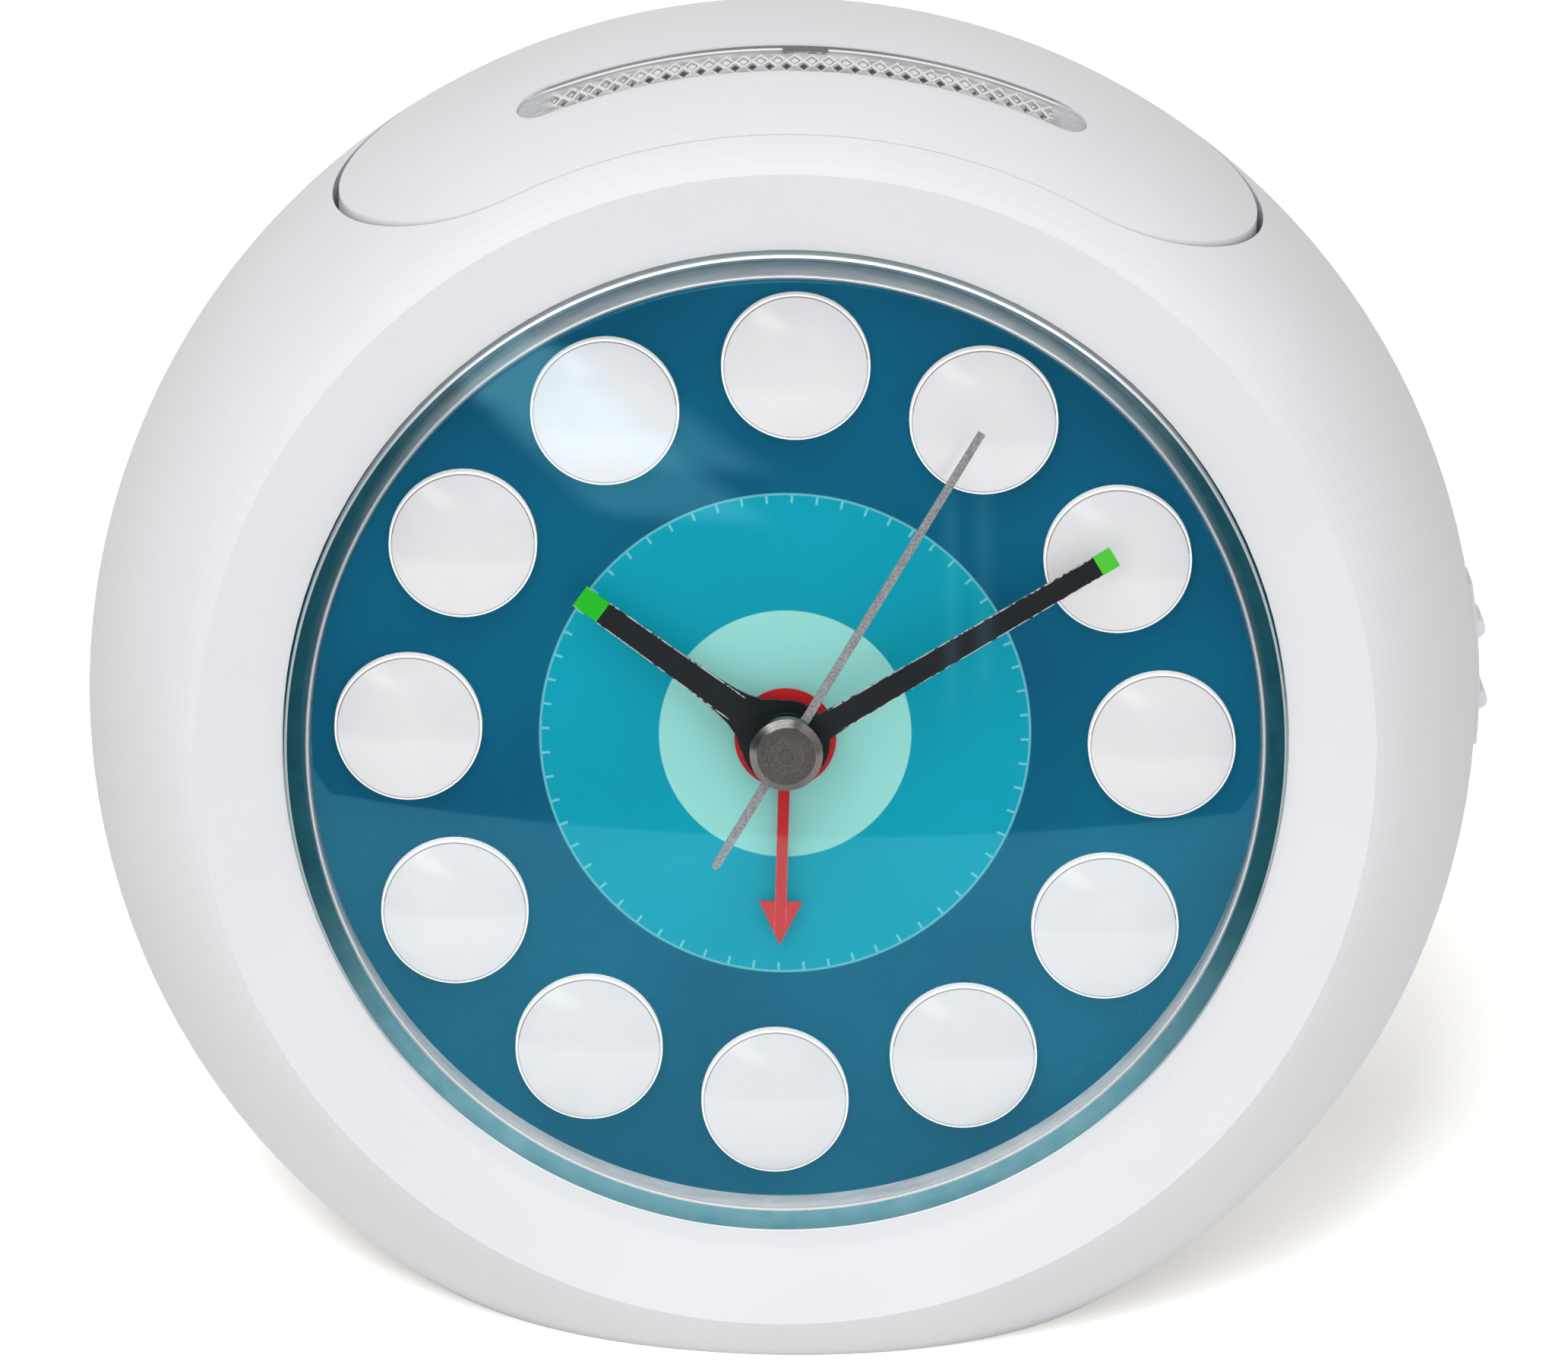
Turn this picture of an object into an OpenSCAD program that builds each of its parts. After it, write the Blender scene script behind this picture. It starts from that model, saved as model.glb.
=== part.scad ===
// Round bedside alarm clock that leans back on a flat base, with a press bar over the top.
// Every piece is drawn in the clock's own frame: the hand axis is z, towards the viewer, y points
// to twelve o'clock and z = 0 is the front of the dial. seat() leans it back on its base at z = 0.

/* [Case] */
// Lean of the face, degrees back from upright
lean = 10; // [4:1:14]
// Largest radius of the case
case_r = 55.8; // [53:0.1:60]
// Depth of the largest radius behind the dial
belly_back = 15.7; // [14.5:0.1:17]
// Width of the flank seen from the front, from the belly to the crease
rim_w = 9.5; // [9:0.1:10.2]
// Width of the sloping bezel inside the crease
bezel_w = 6.65; // [6.3:0.05:7]
// Height of the crease in front of the dial
crease_front = 8.3; // [7.8:0.1:9]
// Length of the shoulder curve past the crease
shoulder_extra = 2; // [1.6:0.1:3]
// Depth of the back panel behind the dial
back_depth = 42; // [41.5:0.5:46]
// Drop of the rear rounding, from the belly to the back panel
back_round = 17; // [15.5:0.5:18]
// Depth of the joint between the two shells
parting = 24; // [23.6:0.1:24.6]
// Wall of the shells
wall = 2.2; // [1.9:0.1:2.4]
// Height of the flat that the base cuts from the belly
base_cut = 6.8; // [5.5:0.1:7.2]
// Depth behind the dial of the middle of the base
base_mid = 18.5; // [12:0.5:22]
// Height of the bezel's inner edge in front of the dial
bezel_front = 4.3; // [3.8:0.1:4.8]

/* [Lens] */
// Gap between the lens and the bezel
lens_gap = 0.2; // [0.1:0.05:0.3]
// Wall of the lens skirt
lens_wall = 1.7; // [1.4:0.1:1.9]
// Thickness of the lens in the middle
lens_t = 1.5; // [1.2:0.1:1.8]
// Height of the lens rim in front of the dial
lens_rim = 5.6; // [5.4:0.1:6.2]
// Rise of the lens from its rim to its middle
lens_rise = 5.1; // [4.8:0.1:6]
// Width of the lens flange outside the bezel's edge
flange_w = 2.35; // [2:0.05:2.5]
// Thickness of the lens flange
lens_flange_t = 1.5; // [1.2:0.1:1.7]

/* [Dial] */
// Thickness of the dial plate
dial_t = 1.2; // [1:0.1:1.4]
// Distance of the circle of domes inside the bezel's edge
dome_in = 10; // [9.6:0.05:10.6]
// Radius of one dome
dome_r = 5.75; // [5.4:0.05:6]
// Rise of a dome above the dial
dome_rise = 1.9; // [1.2:0.1:2.4]
// Height of a dome's curved crown
dome_crown = 0.7; // [0.4:0.05:1.1]
// Gap round a dome in its opening
dome_gap = 0.1; // [0.05:0.05:0.2]
// Thickness of the sheet that carries the domes
sheet_t = 0.8; // [0.6:0.1:0.9]

/* [Hands] */
// Length of the hour hand
hour_len = 20; // [18:0.5:21]
// Reach of the minute hand past the circle of domes
minute_past = 0.25; // [-3:0.05:1]
// Reach of the second hand past the circle of domes
second_past = -0.05; // [-3:0.05:1]
// Length of the second hand's tail
second_tail = 11; // [8:0.5:13]
// Length of the alarm hand
alarm_len = 16.7; // [14:0.1:18]
// Hour shown, with its fraction
shown_hours = 10.16; // [0:0.01:12]
// Second shown
shown_seconds = 4.9; // [0:0.1:60]
// Hour the alarm is set to
alarm_hour = 6; // [0:0.25:12]
// Thickness of a hand
hand_t = 0.3; // [0.2:0.05:0.4]
// Radius of the cap over the hands
cap_r = 2.87; // [2.6:0.01:3]

/* [Movement] */
// Width of the square movement
move_w = 54; // [53:0.5:55]
// Wall of the movement housing
move_wall = 1.4; // [1.2:0.1:1.6]
// Radial running clearance of every arbor in its bore
run_gap = 0.06; // [0.04:0.01:0.08]
// Backlash of the gear teeth
backlash = 0.1; // [0.09:0.01:0.12]
// Radius of the second arbor
second_arbor_r = 0.5; // [0.45:0.01:0.52]
// Wall of each of the nested hand pipes
pipe_wall = 0.69; // [0.65:0.01:0.75]
// Radius of the setting shafts
stem_r = 1.25; // [1.1:0.05:1.4]
// Radius of the setting knobs
knob_r = 6.4; // [5.6:0.1:6.6]
// Height of the setting knobs
knob_h = 6; // [5:0.5:7]

/* [Snooze bar] */
// Half length of the bar
bar_half = 36.3; // [35.5:0.1:37]
// Distance from the bar's front edge to its back edge
bar_depth = 28; // [27:0.5:28.5]
// Height of the bar's front edge in front of the dial
bar_front = 5.7; // [5.4:0.1:5.9]
// Gap round the bar
bar_gap = 0.15; // [0.1:0.01:0.3]
// Extra gap at the ends of the bar
bar_end_gap = 0.35; // [0:0.05:0.5]
// Thickness of the bar's skin
bar_t = 1.8; // [1.5:0.1:2]
// Travel of the bar when pressed
bar_travel = 1.2; // [0.8:0.1:1.4]
// Half length of the night-light window
window_half = 22.4; // [20:0.1:23]
// Width of the night-light window
window_w = 5.4; // [4.8:0.1:5.6]
// Depth of the window's middle behind the dial
window_back = 2.4; // [2.2:0.1:3]

/* [Rear] */
// Diameter of the battery
cell_d = 14.5; // [14:0.1:14.5]
// Length of the battery without its button
cell_len = 49.5; // [49:0.1:49.5]
// Height of the battery's axis from the hand axis
cell_y = -14; // [-15:0.1:-13.5]
// Radius of the buzzer
buzzer_r = 10; // [9:0.1:10]
// Turn of the alarm switch between its two places, degrees
slider_turn = 3.2; // [2:0.1:3.6]

/* [Hidden] */
$fn = 64;
far = 200;
arc_steps = 22;

// Radii that follow from the belly
crease_r = case_r - rim_w;
bezel_r = crease_r - bezel_w;
base_drop = case_r - base_cut;

// Shoulder and rear rounding: quarter ellipses that meet at the belly
sh_w = belly_back + crease_front + shoulder_extra;
sh_end = asin((belly_back + crease_front) / sh_w);
sh_h = (case_r - crease_r) / (1 - cos(sh_end));
sh_mid = case_r - sh_h;
back_w = back_depth - belly_back;
back_mid = case_r - back_round;
function shoulder(off, t) = [sh_mid + (sh_h - off) * cos(t), (sh_w - off) * sin(t) - belly_back];
function rounding(off, t) = [back_mid + (back_round - off) * cos(t), -belly_back - (back_w - off) * sin(t)];
function joint_turn(off) = asin((parting - belly_back) / (back_w - off));
function joint_r(off) = rounding(off, joint_turn(off))[0];
function steps(a, b, n) = [for (i = [0:n]) a + (b - a) * i / n];
function polar(r, a) = [r * cos(a), r * sin(a)];

// Bezel and lens seat
lens_flange_r = bezel_r + flange_w;
lens_r = bezel_r - lens_gap;
lens_in_r = lens_r - lens_wall;
lens_in_rim = lens_rim - 0.5;
lens_in_rise = lens_rise + 0.5 - lens_t;
seat_gap = 0.1;
seat_z = lens_flange_t + seat_gap;
pocket_r = lens_flange_r + 1.5;
in_top = crease_front - 1.7 * wall;
in_turn = asin((belly_back + in_top) / (sh_w - wall));
in_corner = [pocket_r + 1.4, in_top + 0.3];

// Dial, its fixing and the reach of the hands over it
dome_circle_r = bezel_r - dome_in;
minute_len = dome_circle_r + minute_past;
second_len = dome_circle_r + second_past;
dial_r = lens_flange_r - 0.2;
ear_circle_r = lens_flange_r + 2.3;
ear_r = 2.4;
ear_boss_r = 2.1;
ear_angles = [45, 135, 215, 325];
pilot_r = 0.9;
post_at = move_w / 2 - 3;
post_r = 2.2;
sheet_in_r = dome_circle_r - dome_r - 2.4;
sheet_gap = 0.3;
sheet_r = max(dome_circle_r + dome_r + 1.6, post_at * sqrt(2) + post_r + sheet_gap + 0.5);
dial_screw_head_r = 1.6;

// Nested pipes on the hand axis, from the second arbor outwards
minute_in_r = second_arbor_r + run_gap;
minute_r = minute_in_r + pipe_wall;
hour_in_r = minute_r + run_gap;
hour_r = hour_in_r + pipe_wall;
alarm_in_r = hour_r + run_gap;
alarm_r = alarm_in_r + pipe_wall;
bush_in_r = alarm_r + run_gap;
bush_r = bush_in_r + 0.8;

// Heights of the hands in front of the dial
alarm_z = 1.3;
hour_z = 3;
minute_z = 4.9;
second_z = minute_z + hand_t + 0.7;
cap_z = second_z + hand_t;
cap_h = 1.6;
hour_angle = -shown_hours * 30;
minute_angle = -(shown_hours - floor(shown_hours)) * 360;
second_angle = -shown_seconds * 6;
alarm_angle = -alarm_hour * 30;

// Movement levels behind the dial
sheet_z = -dial_t - sheet_t;
move_z = sheet_z - 0.4;
plate_t = 1.5;
front_in = move_z - plate_t;
wheel_t = 0.8;
alarm_level = front_in - 0.4;
hour_level = alarm_level - 1.5;
cannon_level = hour_level - 1.5;
bridge_z = cannon_level - 1.9;
bridge_t = 1.2;
bridge_back = bridge_z - bridge_t;
centre_level = bridge_back - 0.5;
fifth_level = centre_level - 1.4;
third_level = fifth_level - 1.3;
motor_level = third_level - 0.3;
second_level = third_level - 1.6;
back_in = second_level - 1.8;
back_t = 1.4;
move_end = back_in - back_t;
pivot_r = 0.35;
motion_pin_r = 0.7;
pivot_hole = pivot_r + run_gap;
boss_front_r = sheet_in_r - 1.5;

// Tooth counts and modules; the modules follow the width of the movement
plan_k = move_w / 54;
m_second = 0.25 * plan_k;
m_rotor = 0.2 * plan_k;
m_motion = 0.3 * plan_k;
m_alarm = 0.4 * plan_k;
n_second = 60;
n_second_pinion = 8;
n_third = 60;
n_third_pinion = 8;
n_centre = 64;
n_fifth = 60;
n_fifth_pinion = 12;
n_rotor = 10;
n_cannon = 14;
n_motion = 42;
n_motion_pinion = 10;
n_hour = 40;
n_set = 16;
n_alarm = 48;
n_alarm_set = 36;
d_third = (n_second_pinion + n_third) / 2 * m_second;
m_centre = 2 * d_third / (n_third_pinion + n_centre);
d_fifth = (n_second + n_fifth_pinion) / 2 * m_second;
d_rotor = (n_fifth + n_rotor) / 2 * m_rotor;
d_motion = (n_cannon + n_motion) / 2 * m_motion;
m_hour = 2 * d_motion / (n_motion_pinion + n_hour);
d_set = (n_motion + n_set) / 2 * m_motion;
d_alarm = (n_alarm + n_alarm_set) / 2 * m_alarm;

// Arbor directions and places in the plane of the dial
third_a = -40;
fifth_a = 225;
rotor_a = 250;
motion_a = 135.6;
alarm_a = 45;
third_at = polar(d_third, third_a);
fifth_at = polar(d_fifth, fifth_a);
rotor_at = fifth_at + polar(d_rotor, rotor_a);
motion_at = polar(d_motion, motion_a);
time_at = polar(d_motion + d_set, motion_a);
alarm_at = polar(d_alarm, alarm_a);

// A gear's first tooth, so that it meshes with a gear whose first tooth is at p
function mesh(n, p, n2, a) = a + 180 - (0.5 - (a - p) * n / 360) * 360 / n2;
third_p = mesh(n_second_pinion, 0, n_third, third_a);
third_pinion_p = mesh(n_centre, 0, n_third_pinion, third_a);
fifth_pinion_p = mesh(n_second, 0, n_fifth_pinion, fifth_a);
rotor_p = mesh(n_fifth, 0, n_rotor, rotor_a);
motion_p = mesh(n_cannon, 0, n_motion, motion_a);
motion_pinion_p = mesh(n_hour, 0, n_motion_pinion, motion_a);
set_p = mesh(n_motion, motion_p, n_set, motion_a);
alarm_set_p = mesh(n_alarm, 0, n_alarm_set, alarm_a);

// Screws and bosses that join the shells
boss_r = 3.2;
screw_r = 1.45;
screw_head_r = 2.8;
screw_head_h = 1.8;
screw_top = -parting - 6;
screw_tip = -parting + 10;
boss_circle_r = case_r - 9.8;
boss_at = [for (a = [25, 155, 230, 310]) polar(boss_circle_r, a)];
lip_gap = 0.15;
lip_t = 1.4;

// Snooze bar and the shelf under it
bar_low = 0.2 * case_r;
bar_mid = bar_depth / 2 - bar_front;
bar_end_r = bar_depth / 2;
bar_skirt = 5.5;
collar_t = 1.5;
opening_floor_r = ear_circle_r + ear_r + 0.2;
bar_floor_r = opening_floor_r + bar_travel + 0.4;
shelf_y = pocket_r - 0.9;
shelf_t = 1.6;
shelf_top = shelf_y + shelf_t;
shelf_half = 18;
shelf_neck = 10;
shelf_front = -6;
shelf_back = 19;
board_t = 1;
board_top = shelf_top + board_t;
spring_x = 14;
spring_back = 13;
spring_r = 2.2;
spring_wire = 0.3;
spring_turns = 4;
spring_h = 5;
pad_y = shelf_top + spring_h;
switch_w = 6;
switch_h = 3.4;
plunger_h = 1.2;
post_end = board_top + switch_h + plunger_h + bar_travel + 0.1;
led_r = 1.5;

// Alarm switch on the flank
slider_y = 3.6;
slider_back = 18;
slider_a = asin(slider_y / case_r);
slider_half = 6.6;
slider_w = 6.4;
slider_gap = 0.3;
slider_floor = case_r - 0.9;
slider_top = case_r + 0.35;
rib_r = 0.75;
rib_gap_a = 3;
stem_half = 1.6;
slot_w = 3.4;
body_x = case_r - wall - 3;

// Battery bay, door and knob wells in the back panel
cell_r = cell_d / 2;
cell_gap = 0.4;
bay_half = cell_len / 2 + 2.65;
bay_h = cell_d + 0.9;
bay_wall = 2.2;
door_t = 1.6;
door_gap = 0.2;
door_lap = 1.6;
door_half = bay_half + door_lap;
door_h = bay_h + 2 * door_lap;
cell_z = -back_depth + door_t + cell_gap + cell_r;
bay_floor = cell_z + cell_r + 0.25;
well_r = knob_r + 1.6;
well_depth = 4;
well_wall = 1.6;
well_floor = -back_depth + well_depth;
buzzer_y = time_at[1] + sqrt(pow(well_r + well_wall + buzzer_r + 0.8, 2) - pow(time_at[0], 2));
buzzer_h = 4.5;
buzzer_z = wall + 0.5 - back_depth;
buzzer_wall = 1.4;
knob_end = well_floor - 0.5 - knob_h;

case_white = "#e1e2e6";
opal = "#e9eaec";
teal = "#00688a";
black = "#15171a";
steel = "#a9abad";
nickel = "#c9c4bb";
red = "#d41a1f";
green = "#2fd02a";
natural = "#e6e2d6";
copper = "#b4692f";
brass = "#c7a24c";
board_green = "#2e6b46";

// Leans the clock back and stands its base on z = 0, with the middle of the base at the origin
module seat() {
    rest_y = base_drop * sin(lean) - base_mid / cos(lean);
    translate([0, rest_y, base_drop * cos(lean)])
        rotate([90 - lean, 0, 0])
            children();
}

// Everything at least off above the resting plane
module above(off) {
    rotate([lean, 0, 0])
        translate([-far, off - base_drop * cos(lean), -far])
            cube(2 * far);
}

// A cylinder along z between two heights
module rod(r, z0, z1) {
    translate([0, 0, min(z0, z1)])
        cylinder(h = abs(z1 - z0), r = r);
}

module tube(r, r_in, z0, z1) {
    difference() {
        rod(r, z0, z1);
        rod(r_in, min(z0, z1) - 1, max(z0, z1) + 1);
    }
}

// An outline in the plane of the dial, between two heights
module slab(z0, z1) {
    translate([0, 0, min(z0, z1)])
        linear_extrude(abs(z1 - z0))
            children();
}

// An outline seen from above, in x and depth behind the dial, between two heights along y
module plan(y0, y1) {
    translate([0, y0, 0])
        rotate([-90, 0, 0])
            linear_extrude(y1 - y0)
                children();
}

module place(at) {
    translate([at[0], at[1], 0])
        children();
}

module rounded(w, h, r) {
    square([w - 2 * r, h], center = true);
    square([w, h - 2 * r], center = true);
    for (x = [-1, 1], y = [-1, 1])
        translate([x * (w / 2 - r), y * (h / 2 - r)])
            circle(r);
}

// A slot outline with round ends: half length, radius and depth behind the dial
module stadium(half, r, back) {
    translate([0, back])
        square([2 * (half - r), 2 * r], center = true);
    for (x = [-1, 1])
        translate([x * (half - r), back])
            circle(r);
}

// One straight sided tooth gear: teeth, module, first tooth
function tooth(n, m) =
    let (rp = m * n / 2, h = PI * m / 4 - backlash / 2, root = n < 20 ? h : 1.12 * h)
    [[rp - 1.15 * m, root], [rp, h], [rp + 0.85 * m, h - 0.306 * m]];
function flank(n, m) =
    let (q = tooth(n, m))
    concat([for (i = [0:2]) [q[i][0], -q[i][1]]], [for (i = [2:-1:0]) q[i]]);
module gear(n, m, first) {
    polygon([for (i = [0:n - 1], q = flank(n, m))
        polar(q[0], first + i * 360 / n + asin(q[1] / q[0]))]);
}

module wheel(n, m, first, z0, bore) {
    holes = 4;
    hole_r = 0.21 * m * n / 2;
    hole_at = 0.58 * m * n / 2;
    slab(z0, z0 - wheel_t)
        difference() {
            gear(n, m, first);
            if (bore > 0)
                circle(bore);
            for (i = [0:holes - 1])
                rotate(i * 360 / holes)
                    translate([hole_at, 0])
                        circle(hole_r);
        }
}

// A pinion leaf, a little wider than the wheel that it drives
module pinion(n, m, first, z0) {
    lap = 0.2;
    slab(z0 + lap, z0 - wheel_t - lap)
        gear(n, m, first);
}

// Solids of revolution of the case
module outside(off) {
    front_end = asin((belly_back + crease_front - 1.7 * off) / (sh_w - off));
    rotate_extrude()
        polygon(concat([[0, off - back_depth]],
            [for (t = steps(90, 0, arc_steps)) rounding(off, t)],
            [for (t = steps(front_end / arc_steps, front_end, arc_steps - 1)) shoulder(off, t)],
            [[bezel_r, bezel_front - off], [0, bezel_front - off]]));
}

module front_ring() {
    rotate_extrude()
        polygon(concat([for (t = steps(joint_turn(0), 0, 8)) rounding(0, t)],
            [for (t = steps(sh_end / arc_steps, sh_end, arc_steps - 1)) shoulder(0, t)],
            [[bezel_r, bezel_front], [bezel_r, seat_z], [pocket_r, seat_z], in_corner],
            [for (t = steps(in_turn, 0, arc_steps)) shoulder(wall, t)],
            [for (t = steps(joint_turn(wall) / 8, joint_turn(wall), 7)) rounding(wall, t)]));
}

module rear_ring() {
    rotate_extrude()
        polygon(concat([for (t = steps(joint_turn(0), 90, arc_steps)) rounding(0, t)],
            [[0, -back_depth], [0, wall - back_depth]],
            [for (t = steps(90, joint_turn(wall), arc_steps)) rounding(wall, t)]));
}

// The part of a case half that lies in front of the shells' joint, or behind it
module half(front) {
    intersection() {
        children();
        translate([-far, -far, front ? -parting : -parting - 2 * far])
            cube(2 * far);
    }
}

// The flat floor of the case, one wall thick
module base_floor(front) {
    difference() {
        intersection() {
            half(front)
                outside(0);
            above(0);
        }
        above(wall);
    }
}

module snooze_cut() {
    difference() {
        plan(bar_low, far)
            stadium(bar_half + bar_gap + bar_end_gap, bar_end_r + bar_gap, bar_mid);
        rod(opening_floor_r, -far, far);
    }
}

// Guide wall round the snooze opening, under the skin of the case
module snooze_collar() {
    difference() {
        intersection() {
            plan(bar_low, far)
                stadium(bar_half + bar_gap + bar_end_gap + collar_t, bar_end_r + bar_gap + collar_t, bar_mid);
            outside(0.4);
            half(true)
                outside(0.4);
        }
        outside(bar_skirt);
        rod(opening_floor_r, -far, far);
    }
}

// A wedge of the flank at the alarm switch, between two radii
module flank_pad(a, half_a, depth, r0, r1) {
    intersection() {
        tube(r1, r0, -slider_back - depth / 2, -slider_back + depth / 2);
        rotate(a)
            linear_extrude(far, center = true)
                polygon([[0, 0], far * [cos(half_a), -sin(half_a)], far * [cos(half_a), sin(half_a)]]);
    }
}

function arc_deg(len) = len / case_r * 180 / PI;

module front_case() {
    slot_a = slider_a - slider_turn / 2;
    color(case_white) seat() difference() {
        union() {
            difference() {
                union() {
                    intersection() {
                        front_ring();
                        above(0);
                    }
                    base_floor(true);
                    snooze_collar();
                }
                snooze_cut();
            }
            // Shelf for the lamp board and the bar's springs
            intersection() {
                union() {
                    translate([-shelf_half, shelf_y, -shelf_back])
                        cube([2 * shelf_half, shelf_t, shelf_back + shelf_front]);
                    translate([-shelf_neck, shelf_y, shelf_front - 1])
                        cube([2 * shelf_neck, shelf_t, seat_z + 2 - shelf_front + 1]);
                }
                outside(wall / 2);
            }
            intersection() {
                union() {
                    for (at = boss_at)
                        place(at)
                            rod(boss_r, -parting, far);
                    for (a = ear_angles)
                        place(polar(ear_circle_r, a))
                            rod(ear_boss_r, 0, far);
                }
                outside(wall / 2);
            }
            // Rails either side of the switch body
            intersection() {
                for (side = [-1, 1])
                    translate([body_x - 4.4, slider_y + side * 6.8 - 0.7, -slider_back - 3])
                        cube([far, 1.4, 6]);
                outside(wall / 2);
            }
        }
        for (at = boss_at)
            place(at)
                rod(screw_r, screw_tip, -parting - 1);
        for (a = ear_angles)
            place(polar(ear_circle_r, a))
                rod(pilot_r, -1, in_top - 1);
        flank_pad(slot_a, arc_deg(slider_half) + slider_turn / 2 + arc_deg(slider_gap),
            slider_w + 2 * slider_gap, slider_floor, case_r + 5);
        flank_pad(slot_a, arc_deg(stem_half) + slider_turn / 2 + arc_deg(slider_gap),
            slot_w, case_r - wall - 4, case_r + 5);
    }
}

module rear_case() {
    slots = 5;
    slot_pitch = 2.8;
    color(case_white) seat() difference() {
        union() {
            intersection() {
                rear_ring();
                above(0);
            }
            base_floor(false);
            // Lip that nests in the front shell
            difference() {
                intersection() {
                    union() {
                        tube(joint_r(wall) - lip_gap, joint_r(wall) - lip_t, 2.5 - parting, -parting - 3);
                        tube(joint_r(wall) + wall / 2, joint_r(wall) - lip_t, -parting, -parting - 3);
                    }
                    above(wall + lip_gap);
                }
                half(true) {
                    plan(bar_low, far)
                        stadium(bar_half + bar_gap + bar_end_gap + collar_t + lip_gap,
                            bar_end_r + bar_gap + collar_t + lip_gap, bar_mid);
                    for (at = boss_at)
                        place(at)
                            rod(boss_r + lip_gap, -far, far);
                }
            }
            intersection() {
                union() {
                    for (at = boss_at)
                        place(at)
                            rod(boss_r + 1.2, -parting, -far);
                    translate([-bay_half - bay_wall, cell_y - bay_h / 2 - bay_wall, -back_depth + 0.5])
                        cube([2 * (bay_half + bay_wall), bay_h + 2 * bay_wall,
                            bay_floor + 1.3 + back_depth - 0.5]);
                    for (at = [time_at, alarm_at])
                        place(at)
                            rod(well_r + well_wall, well_floor + well_wall, -far);
                    place([0, buzzer_y])
                        rod(buzzer_r + seat_gap + buzzer_wall, buzzer_z + buzzer_h - 1.5, -far);
                }
                outside(wall / 2);
            }
        }
        for (at = boss_at)
            place(at) {
                rod(screw_r + 0.2, -parting + 1, -far);
                rod(screw_head_r + 0.4, screw_top, -far);
            }
        translate([-bay_half, cell_y - bay_h / 2, -far])
            cube([2 * bay_half, bay_h, bay_floor + far]);
        translate([-door_half - door_gap, cell_y - door_h / 2 - door_gap, -far])
            cube([2 * (door_half + door_gap), door_h + 2 * door_gap, far - back_depth + door_t]);
        for (at = [time_at, alarm_at])
            place(at) {
                rod(well_r, well_floor, -far);
                rod(stem_r + run_gap, 0, -far);
            }
        place([0, buzzer_y]) {
            rod(buzzer_r + seat_gap, buzzer_z, -parting);
            rod(buzzer_r - 1.2, wall - back_depth, buzzer_z + 1);
        }
        for (i = [0:slots - 1])
            translate([0, buzzer_y + (i - (slots - 1) / 2) * slot_pitch, -back_depth - 1])
                linear_extrude(wall + 2)
                    rounded(14 - 2.4 * abs(i - (slots - 1) / 2), 1.3, 0.6);
    }
}

module front_lens() {
    out_r = (pow(lens_r, 2) + pow(lens_rise, 2)) / (2 * lens_rise);
    in_r = (pow(lens_in_r, 2) + pow(lens_in_rise, 2)) / (2 * lens_in_rise);
    color([0.85, 0.93, 0.95, 0.35]) seat() difference() {
        union() {
            intersection() {
                rod(lens_r, 0, far);
                translate([0, 0, lens_rim + lens_rise - out_r])
                    sphere(out_r);
            }
            rod(lens_flange_r, 0, lens_flange_t);
        }
        intersection() {
            rod(lens_in_r, -1, far);
            translate([0, 0, lens_in_rim + lens_in_rise - in_r])
                sphere(in_r);
        }
    }
}

module case_screws() {
    color(steel) seat()
        for (at = boss_at)
            place(at)
                difference() {
                    union() {
                        rod(screw_r, screw_tip - 0.5, screw_top);
                        rod(screw_head_r, screw_top, screw_top - screw_head_h);
                    }
                    for (a = [0, 90])
                        rotate(a)
                            translate([-screw_head_r / 2, -0.3, screw_top - screw_head_h - 1])
                                cube([screw_head_r, 0.6, 2]);
                }
}

module dial_outline() {
    circle(dial_r);
    for (a = ear_angles)
        rotate(a) {
            translate([dial_r - 2, -ear_r])
                square([ear_circle_r - dial_r + 2, 2 * ear_r]);
            translate([ear_circle_r, 0])
                circle(ear_r);
        }
}

module movement_corners() {
    for (x = [-1, 1], y = [-1, 1])
        translate([x * post_at, y * post_at, 0])
            children();
}

module dial_plate() {
    color(teal) seat() difference() {
        union() {
            slab(-dial_t, 0)
                dial_outline();
            movement_corners()
                rod(post_r, -dial_t, move_z);
        }
        for (i = [0:11])
            rotate(i * 30)
                translate([dome_circle_r, 0, 0])
                    rod(dome_r + dome_gap, -far, far);
        rod(bush_r + 0.1, -far, far);
        for (a = ear_angles)
            place(polar(ear_circle_r, a))
                rod(pilot_r + 0.2, -far, far);
        movement_corners()
            rod(pilot_r, -far, -0.4);
    }
}

// Sheet behind the dial with twelve domes that show through its openings
module dome_sheet() {
    ball_r = (pow(dome_r, 2) + pow(dome_crown, 2)) / (2 * dome_crown);
    color(opal) seat() {
        difference() {
            tube(sheet_r, sheet_in_r, sheet_z, -dial_t);
            movement_corners()
                rod(post_r + sheet_gap, -far, far);
        }
        for (i = [0:11])
            rotate(i * 30)
                translate([dome_circle_r, 0, 0])
                    intersection() {
                        rod(dome_r, sheet_z, far);
                        translate([0, 0, dome_rise - ball_r])
                            sphere(ball_r);
                    }
    }
}

module dial_screws() {
    color(steel) seat()
        for (a = ear_angles)
            place(polar(ear_circle_r, a)) {
                rod(pilot_r, -dial_t, in_top - 1.5);
                rod(dial_screw_head_r, -dial_t, -dial_t - 1.2);
            }
}

// Outline of a hand along +y: half width at the hub, half width at the tip, flare at the hub
module blade(from, to, root, tip, flare) {
    side = [for (s = steps(from, to, 14))
        [root + (tip - root) * (s - from) / (to - from) + flare * exp(-(s - from) / 1.5), s]];
    polygon(concat(side, [for (i = [len(side) - 1:-1:0]) [-side[i][0], side[i][1]]]));
}

hour_tip_len = 2.25;
minute_tip_len = 1.5;
hour_hub_r = 3.45;
minute_hub_r = 2.85;

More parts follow.
